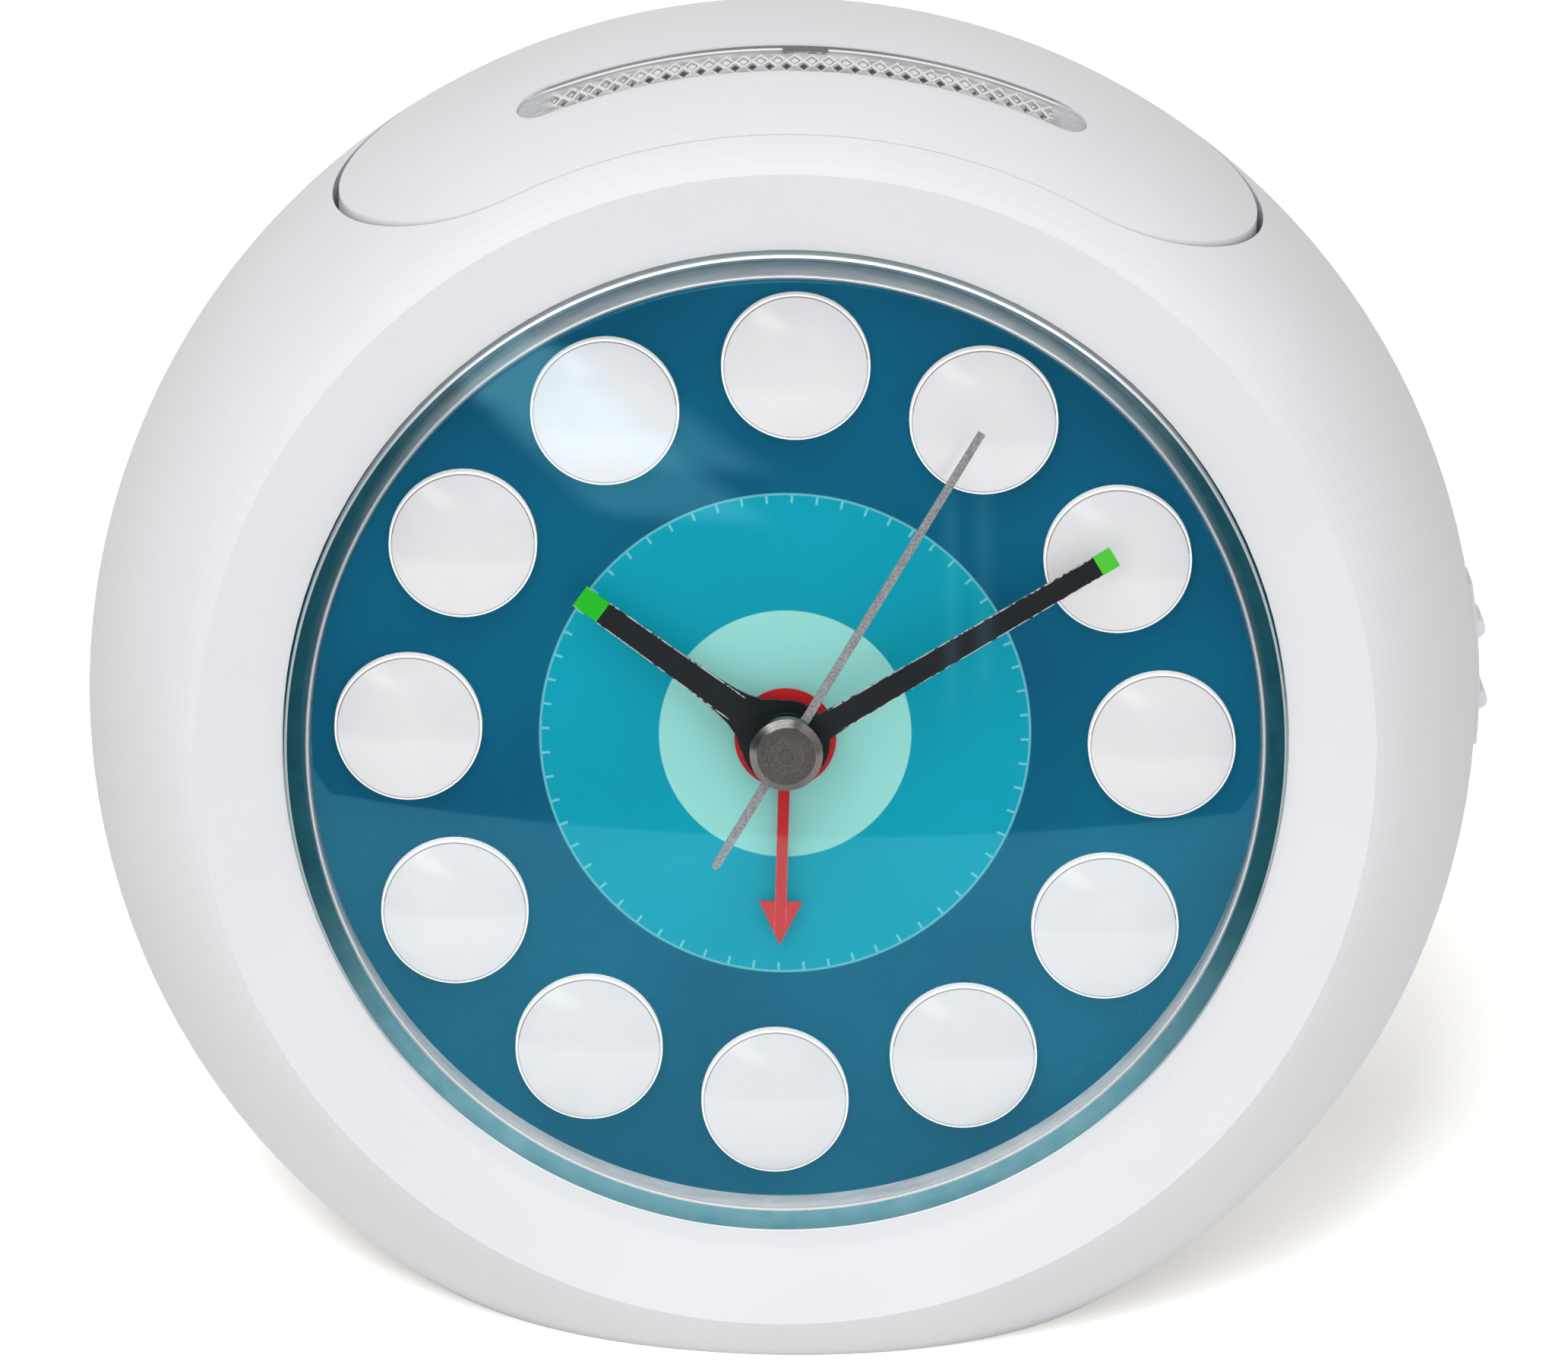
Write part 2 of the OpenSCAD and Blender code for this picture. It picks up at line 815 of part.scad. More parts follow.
module hour_hand() {
    color(black) seat() rotate(hour_angle) {
        slab(hour_z, hour_z + hand_t)
            difference() {
                union() {
                    circle(hour_hub_r);
                    blade(2.4, hour_len - hour_tip_len, 1.08, 0.94, 1.5);
                }
                circle(hour_r);
            }
        tube(hour_r + 0.5, hour_r, hour_z, hour_z - 0.8);
    }
}

module hour_tip() {
    color(green) seat() rotate(hour_angle)
        slab(hour_z, hour_z + hand_t)
            translate([-0.93, hour_len - hour_tip_len])
                square([1.86, hour_tip_len]);
}

module minute_hand() {
    color(black) seat() rotate(minute_angle) {
        slab(minute_z, minute_z + hand_t)
            difference() {
                union() {
                    circle(minute_hub_r);
                    blade(2, minute_len - minute_tip_len, 0.95, 0.82, 0.35);
                }
                circle(minute_r);
            }
        tube(minute_r + 0.5, minute_r, minute_z, minute_z - 0.8);
    }
}

module minute_tip() {
    color(green) seat() rotate(minute_angle)
        slab(minute_z, minute_z + hand_t)
            translate([-0.82, minute_len - minute_tip_len])
                square([1.64, minute_tip_len]);
}

module second_hand() {
    hub_r = 1.7;
    tip = [0.36, second_len];
    tail = [0.46, -second_tail];
    edge = asin(0.42 / hub_r);
    right = concat([tip], [for (a = steps(90 - edge, edge - 90, 12)) polar(hub_r, a)], [tail]);
    left = [for (i = [len(right) - 1:-1:0]) [-right[i][0], right[i][1]]];
    color(steel) seat() rotate(second_angle)
        slab(second_z, second_z + hand_t)
            difference() {
                polygon(concat(right, left));
                circle(second_arbor_r);
            }
}

module hand_cap() {
    chamfer = 0.57;
    color(nickel) seat() rotate_extrude()
        polygon([[second_arbor_r, cap_z], [cap_r, cap_z], [cap_r, cap_z + cap_h - 0.5],
            [cap_r - chamfer, cap_z + cap_h], [0, cap_z + cap_h], [0, cap_z + 0.7],
            [second_arbor_r, cap_z + 0.7]]);
}

module alarm_hand() {
    head = 3.5;
    color(red) seat() rotate(alarm_angle) {
        slab(alarm_z, alarm_z + hand_t)
            difference() {
                union() {
                    circle(4);
                    translate([-0.45, 0])
                        square([0.9, alarm_len - head + 0.2]);
                    polygon([[-1.7, alarm_len - head], [1.7, alarm_len - head], [0, alarm_len]]);
                }
                circle(alarm_r);
            }
        tube(alarm_r + 0.5, alarm_r, alarm_z, alarm_z - 0.6);
    }
}

module movement_front() {
    rib_at = move_w / 2 - move_wall - 1;
    color(natural) seat() difference() {
        union() {
            slab(move_z, front_in)
                rounded(move_w, move_w, 4);
            rod(boss_front_r, -dial_t, move_z);
            rod(bush_r, front_in, 0.4);
            slab(front_in, back_in)
                difference() {
                    rounded(move_w, move_w, 4);
                    rounded(move_w - 2 * move_wall, move_w - 2 * move_wall, 4 - move_wall);
                }
            movement_corners()
                rod(2.6, front_in, back_in);
            for (i = [0:3])
                place(polar(rib_at, i * 90))
                    rod(1.5, front_in, bridge_z);
        }
        rod(bush_in_r, -far, far);
        movement_corners()
            rod(pilot_r + 0.1, -far, far);
        place(alarm_at)
            rod(stem_r + run_gap, front_in - 1, front_in + 0.8);
    }
}

module movement_bridge() {
    fit = 0.1;
    side = move_w - 2 * move_wall - 2 * fit;
    color(natural) seat() {
        slab(bridge_z, bridge_back)
            difference() {
                rounded(side, side, 2);
                circle(minute_r + 0.6);
                movement_corners()
                    circle(2.6 + fit);
                for (at = [time_at, alarm_at])
                    place(at)
                        circle(stem_r + run_gap);
                for (at = [third_at, fifth_at, rotor_at])
                    place(at)
                        circle(pivot_hole);
            }
        place(motion_at)
            rod(motion_pin_r, bridge_z, hour_level + 0.4);
    }
}

module movement_back() {
    color(natural) seat() slab(back_in, move_end)
        difference() {
            rounded(move_w, move_w, 4);
            circle(second_arbor_r + run_gap);
            for (at = [third_at, fifth_at, rotor_at])
                place(at)
                    circle(pivot_hole);
            for (at = [time_at, alarm_at])
                place(at)
                    circle(stem_r + run_gap);
            movement_corners()
                circle(pilot_r + 0.1);
        }
}

module movement_screws() {
    color(steel) seat()
        movement_corners() {
            rod(pilot_r, -1, move_end);
            rod(1.9, move_end, move_end - 1.2);
        }
}

module rotor() {
    color("#5a5c60") seat() place(rotor_at) {
        rod(pivot_r, bridge_z - 0.1, move_end + 0.4);
        pinion(n_rotor, m_rotor, rotor_p, fifth_level);
        rod(magnet_r, motor_level + 0.4, motor_level - 1.5);
    }
}

module fifth_wheel() {
    color("white") seat() place(fifth_at) {
        rod(pivot_r, bridge_z - 0.1, move_end + 0.4);
        wheel(n_fifth, m_rotor, 0, fifth_level, 0);
        pinion(n_fifth_pinion, m_second, fifth_pinion_p, second_level);
    }
}

module second_wheel() {
    color("white") seat() {
        rod(second_arbor_r, cap_z + 0.7, move_end + 0.4);
        wheel(n_second, m_second, 0, second_level, 0);
        pinion(n_second_pinion, m_second, 0, third_level);
    }
}

module third_wheel() {
    color("white") seat() place(third_at) {
        rod(pivot_r, bridge_z - 0.1, move_end + 0.4);
        wheel(n_third, m_second, third_p, third_level, 0);
        pinion(n_third_pinion, m_centre, third_pinion_p, centre_level);
    }
}

// Runs on the minute pipe, which slips in it when the time is set
module centre_wheel() {
    color("white") seat() {
        wheel(n_centre, m_centre, 0, centre_level, hour_in_r);
        tube(minute_r + 0.9, hour_in_r, centre_level + 0.3, centre_level - wheel_t - 0.2);
    }
}

module cannon_pinion() {
    color(brass) seat() {
        tube(minute_r, minute_in_r, minute_z + hand_t + 0.3, centre_level - wheel_t - 0.3);
        slab(cannon_level, cannon_level - 1.3)
            difference() {
                gear(n_cannon, m_motion, 0);
                circle(minute_in_r);
            }
    }
}

module motion_wheel() {
    color("white") seat() place(motion_at) {
        wheel(n_motion, m_motion, motion_p, cannon_level - 0.2, motion_pin_r + run_gap);
        slab(hour_level + 0.2, cannon_level - 0.2)
            difference() {
                gear(n_motion_pinion, m_hour, motion_pinion_p);
                circle(motion_pin_r + run_gap);
            }
    }
}

module hour_wheel() {
    color("white") seat() {
        tube(hour_r, hour_in_r, hour_z + hand_t + 0.2, hour_level - 1);
        slab(hour_level, hour_level - 1)
            difference() {
                gear(n_hour, m_hour, 0);
                circle(hour_in_r);
            }
    }
}

module alarm_wheel() {
    color("white") seat() {
        tube(alarm_r, alarm_in_r, alarm_z + hand_t + 0.2, alarm_level - 1);
        slab(alarm_level, alarm_level - 1)
            difference() {
                gear(n_alarm, m_alarm, 0);
                circle(alarm_in_r);
            }
    }
}

coil_y = -22 * plan_k;
yoke_y = -17 * plan_k;
yoke_w = 3 * plan_k;
limb_left = -20 * plan_k;
limb_right = 4 * plan_k;
limb_w = 3.5 * plan_k;
coil_level = motor_level - 0.5;
coil_r = 2.35;
core_r = 1.4;
flange_t = 0.8;
magnet_r = 2.4;

module stator() {
    color(steel) seat() slab(motor_level, motor_level - 1)
        difference() {
            union() {
                place(rotor_at)
                    circle(2.1 * magnet_r);
                translate([limb_left, yoke_y])
                    square([limb_right - limb_left, yoke_w]);
                for (x = [limb_left, limb_right - limb_w])
                    translate([x, coil_y - 2])
                        square([limb_w, yoke_y + yoke_w - coil_y + 2]);
            }
            place(rotor_at)
                circle(magnet_r + 0.35);
        }
}

module along_coil() {
    translate([limb_left + limb_w, coil_y, coil_level])
        rotate([0, 90, 0])
            children();
}
coil_len = limb_right - limb_left - 2 * limb_w;

module coil_bobbin() {
    color(natural) seat() along_coil() {
        cylinder(h = coil_len, r = core_r);
        for (z = [0, coil_len - flange_t])
            translate([0, 0, z])
                cylinder(h = flange_t, r = coil_r + 0.15);
    }
}

module coil_winding() {
    color(copper) seat() along_coil()
        tube(coil_r, core_r, flange_t, coil_len - flange_t);
}

board_w = 40 * plan_k;
board_h = 9 * plan_k;
board_y = 19.5 * plan_k;
chip_x = 6 * plan_k;
chip_r = 3;
crystal_x = -11 * plan_k;
crystal_r = 0.95;
crystal_len = 6;
board_face = back_in + board_t;
module circuit_board() {
    color(board_green) seat()
        translate([-board_w / 2, board_y - board_h / 2, back_in])
            cube([board_w, board_h, board_t]);
}

module chip_cover() {
    color(black) seat() intersection() {
        translate([chip_x, board_y, board_face + 0.9 - 4 / 3 * chip_r])
            sphere(4 / 3 * chip_r);
        place([chip_x, board_y])
            rod(chip_r, board_face, board_face + 1);
    }
}

module quartz_crystal() {
    color(nickel) seat()
        translate([crystal_x, board_y, board_face + crystal_r])
            rotate([0, 90, 0])
                cylinder(h = crystal_len, r = crystal_r);
}

// Leaf spring from the bridge up under the hour wheel
module alarm_contact() {
    t = 0.25;
    low = bridge_z;
    high = hour_level - 1.5;
    root = -19 * plan_k;
    bend = -15 * plan_k;
    knee = -6.5 * plan_k;
    tip = -5 * plan_k;
    color(brass) seat()
        rotate([90, 0, 90])
            linear_extrude(2, center = true)
                polygon([[root, low], [bend, low], [knee, high], [tip, high], [tip, high + t],
                    [knee, high + t], [bend, low + t], [root, low + t]]);
}

module time_shaft() {
    color("white") seat() place(time_at) {
        rod(stem_r, cannon_level + 0.4, knob_end + 1.2);
        slab(cannon_level - 0.1, cannon_level - 1.1)
            gear(n_set, m_motion, set_p);
    }
}

module alarm_shaft() {
    color("white") seat() place(alarm_at) {
        rod(stem_r, front_in + 0.6, knob_end + 1.2);
        slab(alarm_level, alarm_level - 1)
            gear(n_alarm_set, m_alarm, alarm_set_p);
    }
}

// Fluted rear knob, pressed on its shaft
module knob() {
    flutes = 16;
    flute_r = 0.8;
    difference() {
        rod(knob_r, well_floor - 0.5, knob_end);
        for (i = [0:flutes - 1])
            place(polar(knob_r + 0.35, i * 360 / flutes))
                rod(flute_r, -far, far);
        rod(stem_r, far, knob_end + 1.2);
    }
}

module time_knob() {
    color(black) seat() place(time_at)
        knob();
}

module alarm_knob() {
    color(black) seat() place(alarm_at)
        knob();
}

module snooze_bar() {
    color(case_white) seat() difference() {
        union() {
            difference() {
                intersection() {
                    plan(bar_low, far)
                        stadium(bar_half, bar_end_r, bar_mid);
                    outside(0);
                }
                intersection() {
                    plan(bar_low, far)
                        stadium(bar_half - bar_t, bar_end_r - bar_t, bar_mid);
                    outside(bar_t);
                }
                outside(bar_skirt);
                rod(bar_floor_r, -far, far);
            }
            // Pads over the springs and the post over the switch
            intersection() {
                union() {
                    for (x = [-spring_x, spring_x])
                        translate([x, 0, -spring_back])
                            rotate([-90, 0, 0])
                                rod(spring_r + 0.8, pad_y, far);
                    translate([0, 0, -spring_back])
                        rotate([-90, 0, 0])
                            rod(1.8, post_end, far);
                }
                outside(bar_t / 2);
            }
        }
        plan(bar_low, far)
            stadium(window_half, window_w / 2, window_back);
    }
}

// Clear light pipe: fills the slot in the bar, with a flange under the skin
module snooze_window() {
    flange = 1;
    color([0.9, 0.93, 0.95, 0.5]) seat() {
        difference() {
            intersection() {
                plan(bar_low, far)
                    stadium(window_half, window_w / 2, window_back);
                outside(0.2);
            }
            outside(bar_t + 1);
        }
        difference() {
            intersection() {
                plan(bar_low, far)
                    stadium(window_half + flange, window_w / 2 + flange, window_back);
                outside(bar_t);
            }
            outside(bar_t + 1);
        }
    }
}

// Coil springs: one unbroken tube along a helix, with its ends closed
spring_rings = 8;
spring_sides = 6;
function helix_at(s, turns, r0, r1, h) =
    let (r = r0 + (r1 - r0) * s) [r * cos(360 * turns * s), r * sin(360 * turns * s), h * s];
function helix(turns, r0, r1, h) =
    [for (i = [0:spring_rings * turns]) helix_at(i / (spring_rings * turns), turns, r0, r1, h)];
function ring(p, a, wire) =
    [for (j = [0:spring_sides - 1])
        let (b = 360 * j / spring_sides)
        p + wire * [cos(b) * cos(a), cos(b) * sin(a), sin(b)]];
function least_gap(pts, wire) =
    min([for (i = [0:len(pts) - 1], j = [0:len(pts) - 1])
        if (j - i > spring_rings / 2) norm(pts[j] - pts[i])]) - 2 * wire;

module coil_spring(turns, r0, r1, h, wire) {
    path = helix(turns, r0, r1, h - 2 * wire);
    n = len(path);
    k = spring_sides;
    points = [for (i = [0:n - 1]) each ring(path[i] + [0, 0, wire], 360 * i / spring_rings, wire)];
    sides = [for (i = [0:n - 2], j = [0:k - 1])
        each [[i * k + j, i * k + (j + 1) % k, (i + 1) * k + j],
            [i * k + (j + 1) % k, (i + 1) * k + (j + 1) % k, (i + 1) * k + j]]];
    start = [for (j = [1:k - 2]) [0, j + 1, j]];
    finish = [for (j = [1:k - 2]) [(n - 1) * k, (n - 1) * k + j, (n - 1) * k + j + 1]];
    echo(least_gap = least_gap(path, wire));
    polyhedron(points, concat(sides, start, finish));
}

module snooze_springs() {
    color(steel) seat()
        for (x = [-spring_x, spring_x])
            translate([x, shelf_top, -spring_back])
                rotate([-90, 0, 0])
                    coil_spring(spring_turns, spring_r, spring_r, spring_h, spring_wire);
}

module snooze_switch() {
    color("#3a3c40") seat() {
        translate([-switch_w / 2, board_top, -spring_back - switch_w / 2])
            cube([switch_w, switch_h, switch_w]);
        translate([0, board_top + switch_h, -spring_back])
            rotate([-90, 0, 0])
                cylinder(h = plunger_h, r = 0.27 * switch_w);
    }
}

module lamp_board() {
    w = 2 * shelf_neck - 1;
    d = shelf_back - 1;
    color(board_green) seat()
        translate([-w / 2, shelf_top, 1.5 - shelf_back])
            cube([w, board_t, d]);
}

module lamp_led() {
    color("#f4f1e2") seat()
        translate([0, board_top, -window_back])
            rotate([-90, 0, 0]) {
                cylinder(h = 0.8, r = led_r + 0.4);
                cylinder(h = 2, r = led_r);
                translate([0, 0, 2])
                    sphere(led_r);
            }
}

module alarm_slider() {
    color(case_white) seat() {
        flank_pad(slider_a, arc_deg(slider_half), slider_w, slider_floor + 0.1, slider_top);
        flank_pad(slider_a, arc_deg(stem_half), slot_w - 2 * slider_gap, body_x - 1, slider_floor + 0.2);
        for (a = [-rib_gap_a, rib_gap_a])
            rotate(slider_a + a)
                translate([slider_top - 0.1, 0, 0])
                    rod(rib_r, -slider_back - slider_w / 2, -slider_back + slider_w / 2);
    }
}

module switch_body() {
    travel = stem_half + slider_turn * PI / 180 * case_r + 1;
    color(black) seat() difference() {
        translate([body_x - 4.4, slider_y - 6, -slider_back - 3])
            cube([4.4, 12, 6]);
        translate([body_x - 2.4, slider_y - travel, -slider_back - slot_w / 2])
            cube([5, 2 * travel, slot_w]);
    }
}

module buzzer() {
    color(black) seat() place([0, buzzer_y])
        difference() {
            rod(buzzer_r, buzzer_z, buzzer_z + buzzer_h);
            rod(1.2, -far, buzzer_z + 1);
        }
}

module along_cell(x) {
    translate([x, cell_y, cell_z])
        rotate([0, 90, 0])
            children();
}

module battery() {
    button_h = 1;
    color("#8c5a2b") seat() along_cell(-cell_len / 2) {
        cylinder(h = cell_len, r = cell_r);
        translate([0, 0, cell_len])
            cylinder(h = button_h, r = 2.75);
    }
}

contact_t = 0.4;
contact_w = 0.76 * cell_d;
module contact_blade() {
    translate([-contact_w / 2, -contact_w / 2, 0])
        cube([contact_w, contact_w, contact_t]);
}

module battery_plate() {
    color(nickel) seat() along_cell(bay_half - contact_t) {
        contact_blade();
        translate([0, 0, -(bay_half - contact_t - cell_len / 2 - 1)])
            cylinder(h = bay_half - contact_t - cell_len / 2 - 1, r1 = 2.2, r2 = 3);
    }
}

module battery_spring() {
    sunk = 0.2;
    spring_len = bay_half - contact_t + sunk - cell_len / 2;
    color(nickel) seat() along_cell(-bay_half) {
        contact_blade();
        translate([0, 0, contact_t - sunk])
            coil_spring(2, 0.63 * cell_r, 0.36 * cell_r, spring_len, spring_wire);
    }
}

// Snap-in door, flush with the back panel, with a finger notch and grip ribs
module battery_door() {
    ribs = 4;
    rib_pitch = 2.2;
    rib_len = 12;
    notch_r = 4;
    color(case_white) seat() difference() {
        translate([-door_half, cell_y - door_h / 2, -back_depth])
            cube([2 * door_half, door_h, door_t]);
        translate([0, cell_y + door_h / 2, -back_depth - 1])
            cylinder(h = 1.9, r = notch_r);
        for (i = [0:ribs - 1])
            translate([-rib_len / 2, cell_y + door_h / 2 - 6.5 - i * rib_pitch, -back_depth - 1])
                cube([rib_len, 0.9, 1.4]);
    }
}

front_case();
rear_case();
front_lens();
case_screws();
dial_plate();
dome_sheet();
dial_screws();
hour_hand();
hour_tip();
minute_hand();
minute_tip();
second_hand();
hand_cap();
alarm_hand();
movement_front();
movement_bridge();
movement_back();
movement_screws();
rotor();
fifth_wheel();
second_wheel();
third_wheel();
centre_wheel();
cannon_pinion();
motion_wheel();
hour_wheel();
alarm_wheel();
stator();
coil_bobbin();
coil_winding();
circuit_board();
chip_cover();
quartz_crystal();
alarm_contact();
time_shaft();
time_knob();
alarm_shaft();
alarm_knob();
snooze_bar();
snooze_window();
snooze_springs();
snooze_switch();
lamp_board();
lamp_led();
alarm_slider();
switch_body();
buzzer();
battery();
battery_plate();
battery_spring();
battery_door();
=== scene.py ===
import math

import bmesh
import bpy
from mathutils import Matrix, Vector

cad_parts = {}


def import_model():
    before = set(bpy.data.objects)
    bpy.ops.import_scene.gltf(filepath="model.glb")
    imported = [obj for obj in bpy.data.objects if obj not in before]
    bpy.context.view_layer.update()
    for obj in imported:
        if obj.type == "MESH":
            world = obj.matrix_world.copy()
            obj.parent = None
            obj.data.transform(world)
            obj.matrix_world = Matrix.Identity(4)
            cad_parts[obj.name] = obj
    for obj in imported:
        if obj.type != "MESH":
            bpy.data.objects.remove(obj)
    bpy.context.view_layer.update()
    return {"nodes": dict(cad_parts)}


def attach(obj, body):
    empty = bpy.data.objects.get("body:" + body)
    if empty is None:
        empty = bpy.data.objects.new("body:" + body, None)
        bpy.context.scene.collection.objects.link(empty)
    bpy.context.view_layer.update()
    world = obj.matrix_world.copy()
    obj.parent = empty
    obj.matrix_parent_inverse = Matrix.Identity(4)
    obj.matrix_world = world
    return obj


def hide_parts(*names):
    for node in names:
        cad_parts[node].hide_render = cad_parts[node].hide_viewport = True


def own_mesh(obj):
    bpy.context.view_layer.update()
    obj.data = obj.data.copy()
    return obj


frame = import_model()
nodes = frame["nodes"]
scene = bpy.context.scene
scene.view_settings.view_transform = "Standard"

# The clock's own frame: x right, y to twelve, z along the hand axis to the viewer, origin on the dial.
# Sizes of pieces are in millimetres of this frame.
LEAN = math.radians(10)
S, C = math.sin(LEAN), math.cos(LEAN)
BASE_DROP, BASE_MID = 0.049, 0.0185
ORIGIN = Vector((0, BASE_DROP * S - BASE_MID / C, BASE_DROP * C))
CLOCK = Matrix.Translation(ORIGIN) @ Matrix.Rotation(math.pi / 2 - LEAN, 4, "X")
MM = 0.001


def in_clock(x, y, z):
    """A place of the clock's frame, in the shared frame."""
    return CLOCK @ (Vector((x, y, z)) * MM)


# Materials
class Tree:
    """A small helper to write the nodes of a material or of the world."""

    def __init__(self, name, world=False):
        self.mat = (bpy.data.worlds if world else bpy.data.materials).new(name)
        self.mat.use_nodes = True
        self.t = self.mat.node_tree
        self.t.nodes.clear()
        self.out = self.t.nodes.new("ShaderNodeOutputWorld" if world else "ShaderNodeOutputMaterial")

    def put(self, socket, value):
        if isinstance(value, bpy.types.NodeSocket):
            self.t.links.new(value, socket)
        else:
            socket.default_value = value

    def add(self, kind, inputs=None, **props):
        n = self.t.nodes.new(kind)
        for k, v in props.items():
            setattr(n, k, v)
        for k, v in (inputs or {}).items():
            self.put(n.inputs[k], v)
        return n

    def math(self, op, a, b=0.0):
        return self.add("ShaderNodeMath", {0: a, 1: b}, operation=op).outputs[0]

    def scaled(self, value, by, plus=0.0):
        return self.add("ShaderNodeMath", {0: value, 1: by, 2: plus}, operation="MULTIPLY_ADD").outputs[0]

    def product(self, first, *rest):
        for value in rest:
            first = self.math("MULTIPLY", first, value)
        return first

    def ramp(self, value, lo, hi):
        """Nought at lo and one at hi, eased between them."""
        return self.add("ShaderNodeMapRange", {0: value, 1: lo, 2: hi, 3: 0.0, 4: 1.0},
                        interpolation_type="SMOOTHSTEP").outputs[0]

    def band(self, value, lo, hi, soft):
        """One between lo and hi, with soft ends."""
        return self.product(self.ramp(value, lo - soft, lo + soft), self.ramp(value, hi + soft, hi - soft))

    def mix(self, fac, a, b):
        n = self.add("ShaderNodeMix", data_type="RGBA")
        self.put(n.inputs[0], fac)
        self.put(n.inputs[6], a)
        self.put(n.inputs[7], b)
        return n.outputs[2]

    def blend(self, fac, a, b):
        """A mix of two shaders."""
        return self.add("ShaderNodeMixShader", {0: fac, 1: a, 2: b}).outputs[0]

    def noise(self, vector, scale, detail=2.0, rough=0.5):
        return self.add("ShaderNodeTexNoise", {"Vector": vector, "Scale": scale, "Detail": detail,
                                               "Roughness": rough}).outputs[0]

    def object_mm(self):
        """Place on the piece, in millimetres."""
        co = self.add("ShaderNodeTexCoord").outputs["Object"]
        return self.add("ShaderNodeVectorMath", {0: co, "Scale": 1000.0}, operation="SCALE").outputs[0]

    def clock_mm(self, turn=0.0):
        """Place in the clock's frame in millimetres, turned about the hand axis."""
        co = self.add("ShaderNodeTexCoord").outputs["Object"]
        inv = Matrix.Rotation(-turn, 4, "Z") @ CLOCK.inverted()
        loc, rot, _ = inv.decompose()
        return self.add("ShaderNodeMapping", {"Vector": co, "Location": loc * 1000.0,
                                              "Rotation": rot.to_euler(),
                                              "Scale": (1000.0, 1000.0, 1000.0)}).outputs[0]

    def split(self, vector):
        return self.add("ShaderNodeSeparateXYZ", {0: vector}).outputs

    def join(self, x, y):
        return self.add("ShaderNodeCombineXYZ", {0: x, 1: y}).outputs[0]

    def radius(self, x, y):
        return self.math("SQRT", self.math("ADD", self.product(x, x), self.product(y, y)))

    def bump(self, height, strength, distance):
        """Relief of a height field, with its depth in millimetres."""
        return self.add("ShaderNodeBump", {"Height": height, "Strength": strength,
                                           "Distance": distance * MM}).outputs[0]

    def shader(self, color, rough, normal=None, **sockets):
        p = self.add("ShaderNodeBsdfPrincipled", {"Base Color": color, "Roughness": rough})
        if normal is not None:
            self.put(p.inputs["Normal"], normal)
        for k, v in sockets.items():
            self.put(p.inputs[k.replace("_", " ")], v)
        return p.outputs[0]

    def finish(self, shader):
        self.t.links.new(shader, self.out.inputs[0])
        return self.mat


def rgb(r, g, b):
    return (r, g, b, 1.0)


def dimmed(color, by):
    return rgb(*(c * by for c in color))


def moulded(name, color, rough=0.45, grain=6.0, depth=0.02, tone=0.03, **sockets):
    """Moulded plastic: fine spark-eroded grain, slight change of tone and gloss."""
    m = Tree(name)
    p = m.object_mm()
    fine = m.noise(p, grain, 3.0, 0.6)
    broad = m.noise(p, 0.06, 2.0)
    col = m.mix(m.ramp(broad, 0.3, 0.7), rgb(*color), dimmed(color, 1 - 2 * tone))
    return m.finish(m.shader(col, m.scaled(fine, 0.12, rough - 0.06), m.bump(fine, 0.35, depth), **sockets))


def metal(name, color, rough, along):
    """Drawn or turned metal, with fine lines along one direction."""
    m = Tree(name)
    p = m.object_mm()
    stretch = [0.03 if axis == along else 1.0 for axis in "XYZ"]
    q = m.add("ShaderNodeMapping", {"Vector": p, "Scale": stretch}).outputs[0]
    lines = m.noise(q, 9.6, 4.0, 0.7)
    dull = m.noise(p, 0.35, 3.0)
    col = m.mix(m.ramp(dull, 0.35, 0.75), rgb(*color), dimmed(color, 0.8))
    return m.finish(m.shader(col, m.scaled(lines, 0.25, rough - 0.1), m.bump(lines, 0.3, 0.01), Metallic=1.0))


def frost_and_painted_reflection(m, glass, frost):
    """Dulls the glass of a moulded wall in pale streaks, partly the wall's own streaking and partly a painted
    reflection: most at the foot of the clock and somewhat at its top.
    """
    x, y, z = m.split(m.clock_mm())
    flow = m.join(m.scaled(m.math("ARCTAN2", x, y), 6.0), m.scaled(z, 0.25))
    streak = m.ramp(m.noise(flow, 1.6, 3.0), 0.25, 0.7)
    # Painted reflection: the share of pale streaks grows towards the foot and the top of the clock.
    low = m.scaled(m.ramp(y, -6.0, -30.0), 0.85)
    high = m.scaled(m.ramp(y, 15.0, 36.0), 0.45, 0.1)
    share = m.product(m.scaled(streak, 0.3, frost - 0.15), m.math("ADD", low, high))
    return m.blend(share, glass, m.shader(rgb(0.86, 0.87, 0.88), 0.4))


def clear(name, rough, sheen, frost=0.0):
    """Clear acrylic with faint rub marks, which lets the lamps and the soft light through."""
    tint = (0.985, 0.995, 0.995)
    m = Tree(name)
    marks = m.noise(m.object_mm(), 1.5, 5.0, 0.7)
    gloss = m.scaled(m.ramp(marks, 0.62, 0.8), 0.05, rough)
    glass = m.shader(rgb(*tint), gloss, Transmission_Weight=1.0, IOR=1.49, Specular_Tint=rgb(*sheen))
    # A frosted wall gets pale streaks that are partly a painted reflection at the foot and top.
    if frost:
        glass = frost_and_painted_reflection(m, glass, frost)
    through = m.add("ShaderNodeBsdfTransparent", {0: dimmed(tint, 0.97)}).outputs[0]
    path = m.add("ShaderNodeLightPath").outputs
    ray = m.math("MAXIMUM", path["Is Shadow Ray"], path["Is Diffuse Ray"])
    return m.finish(m.blend(ray, glass, through))


MINT_R, CYAN_R, TRACK_IN_R, TRACK_R, MARGIN_R = 9.92, 19.29, 18.53, 19.17, 37.7


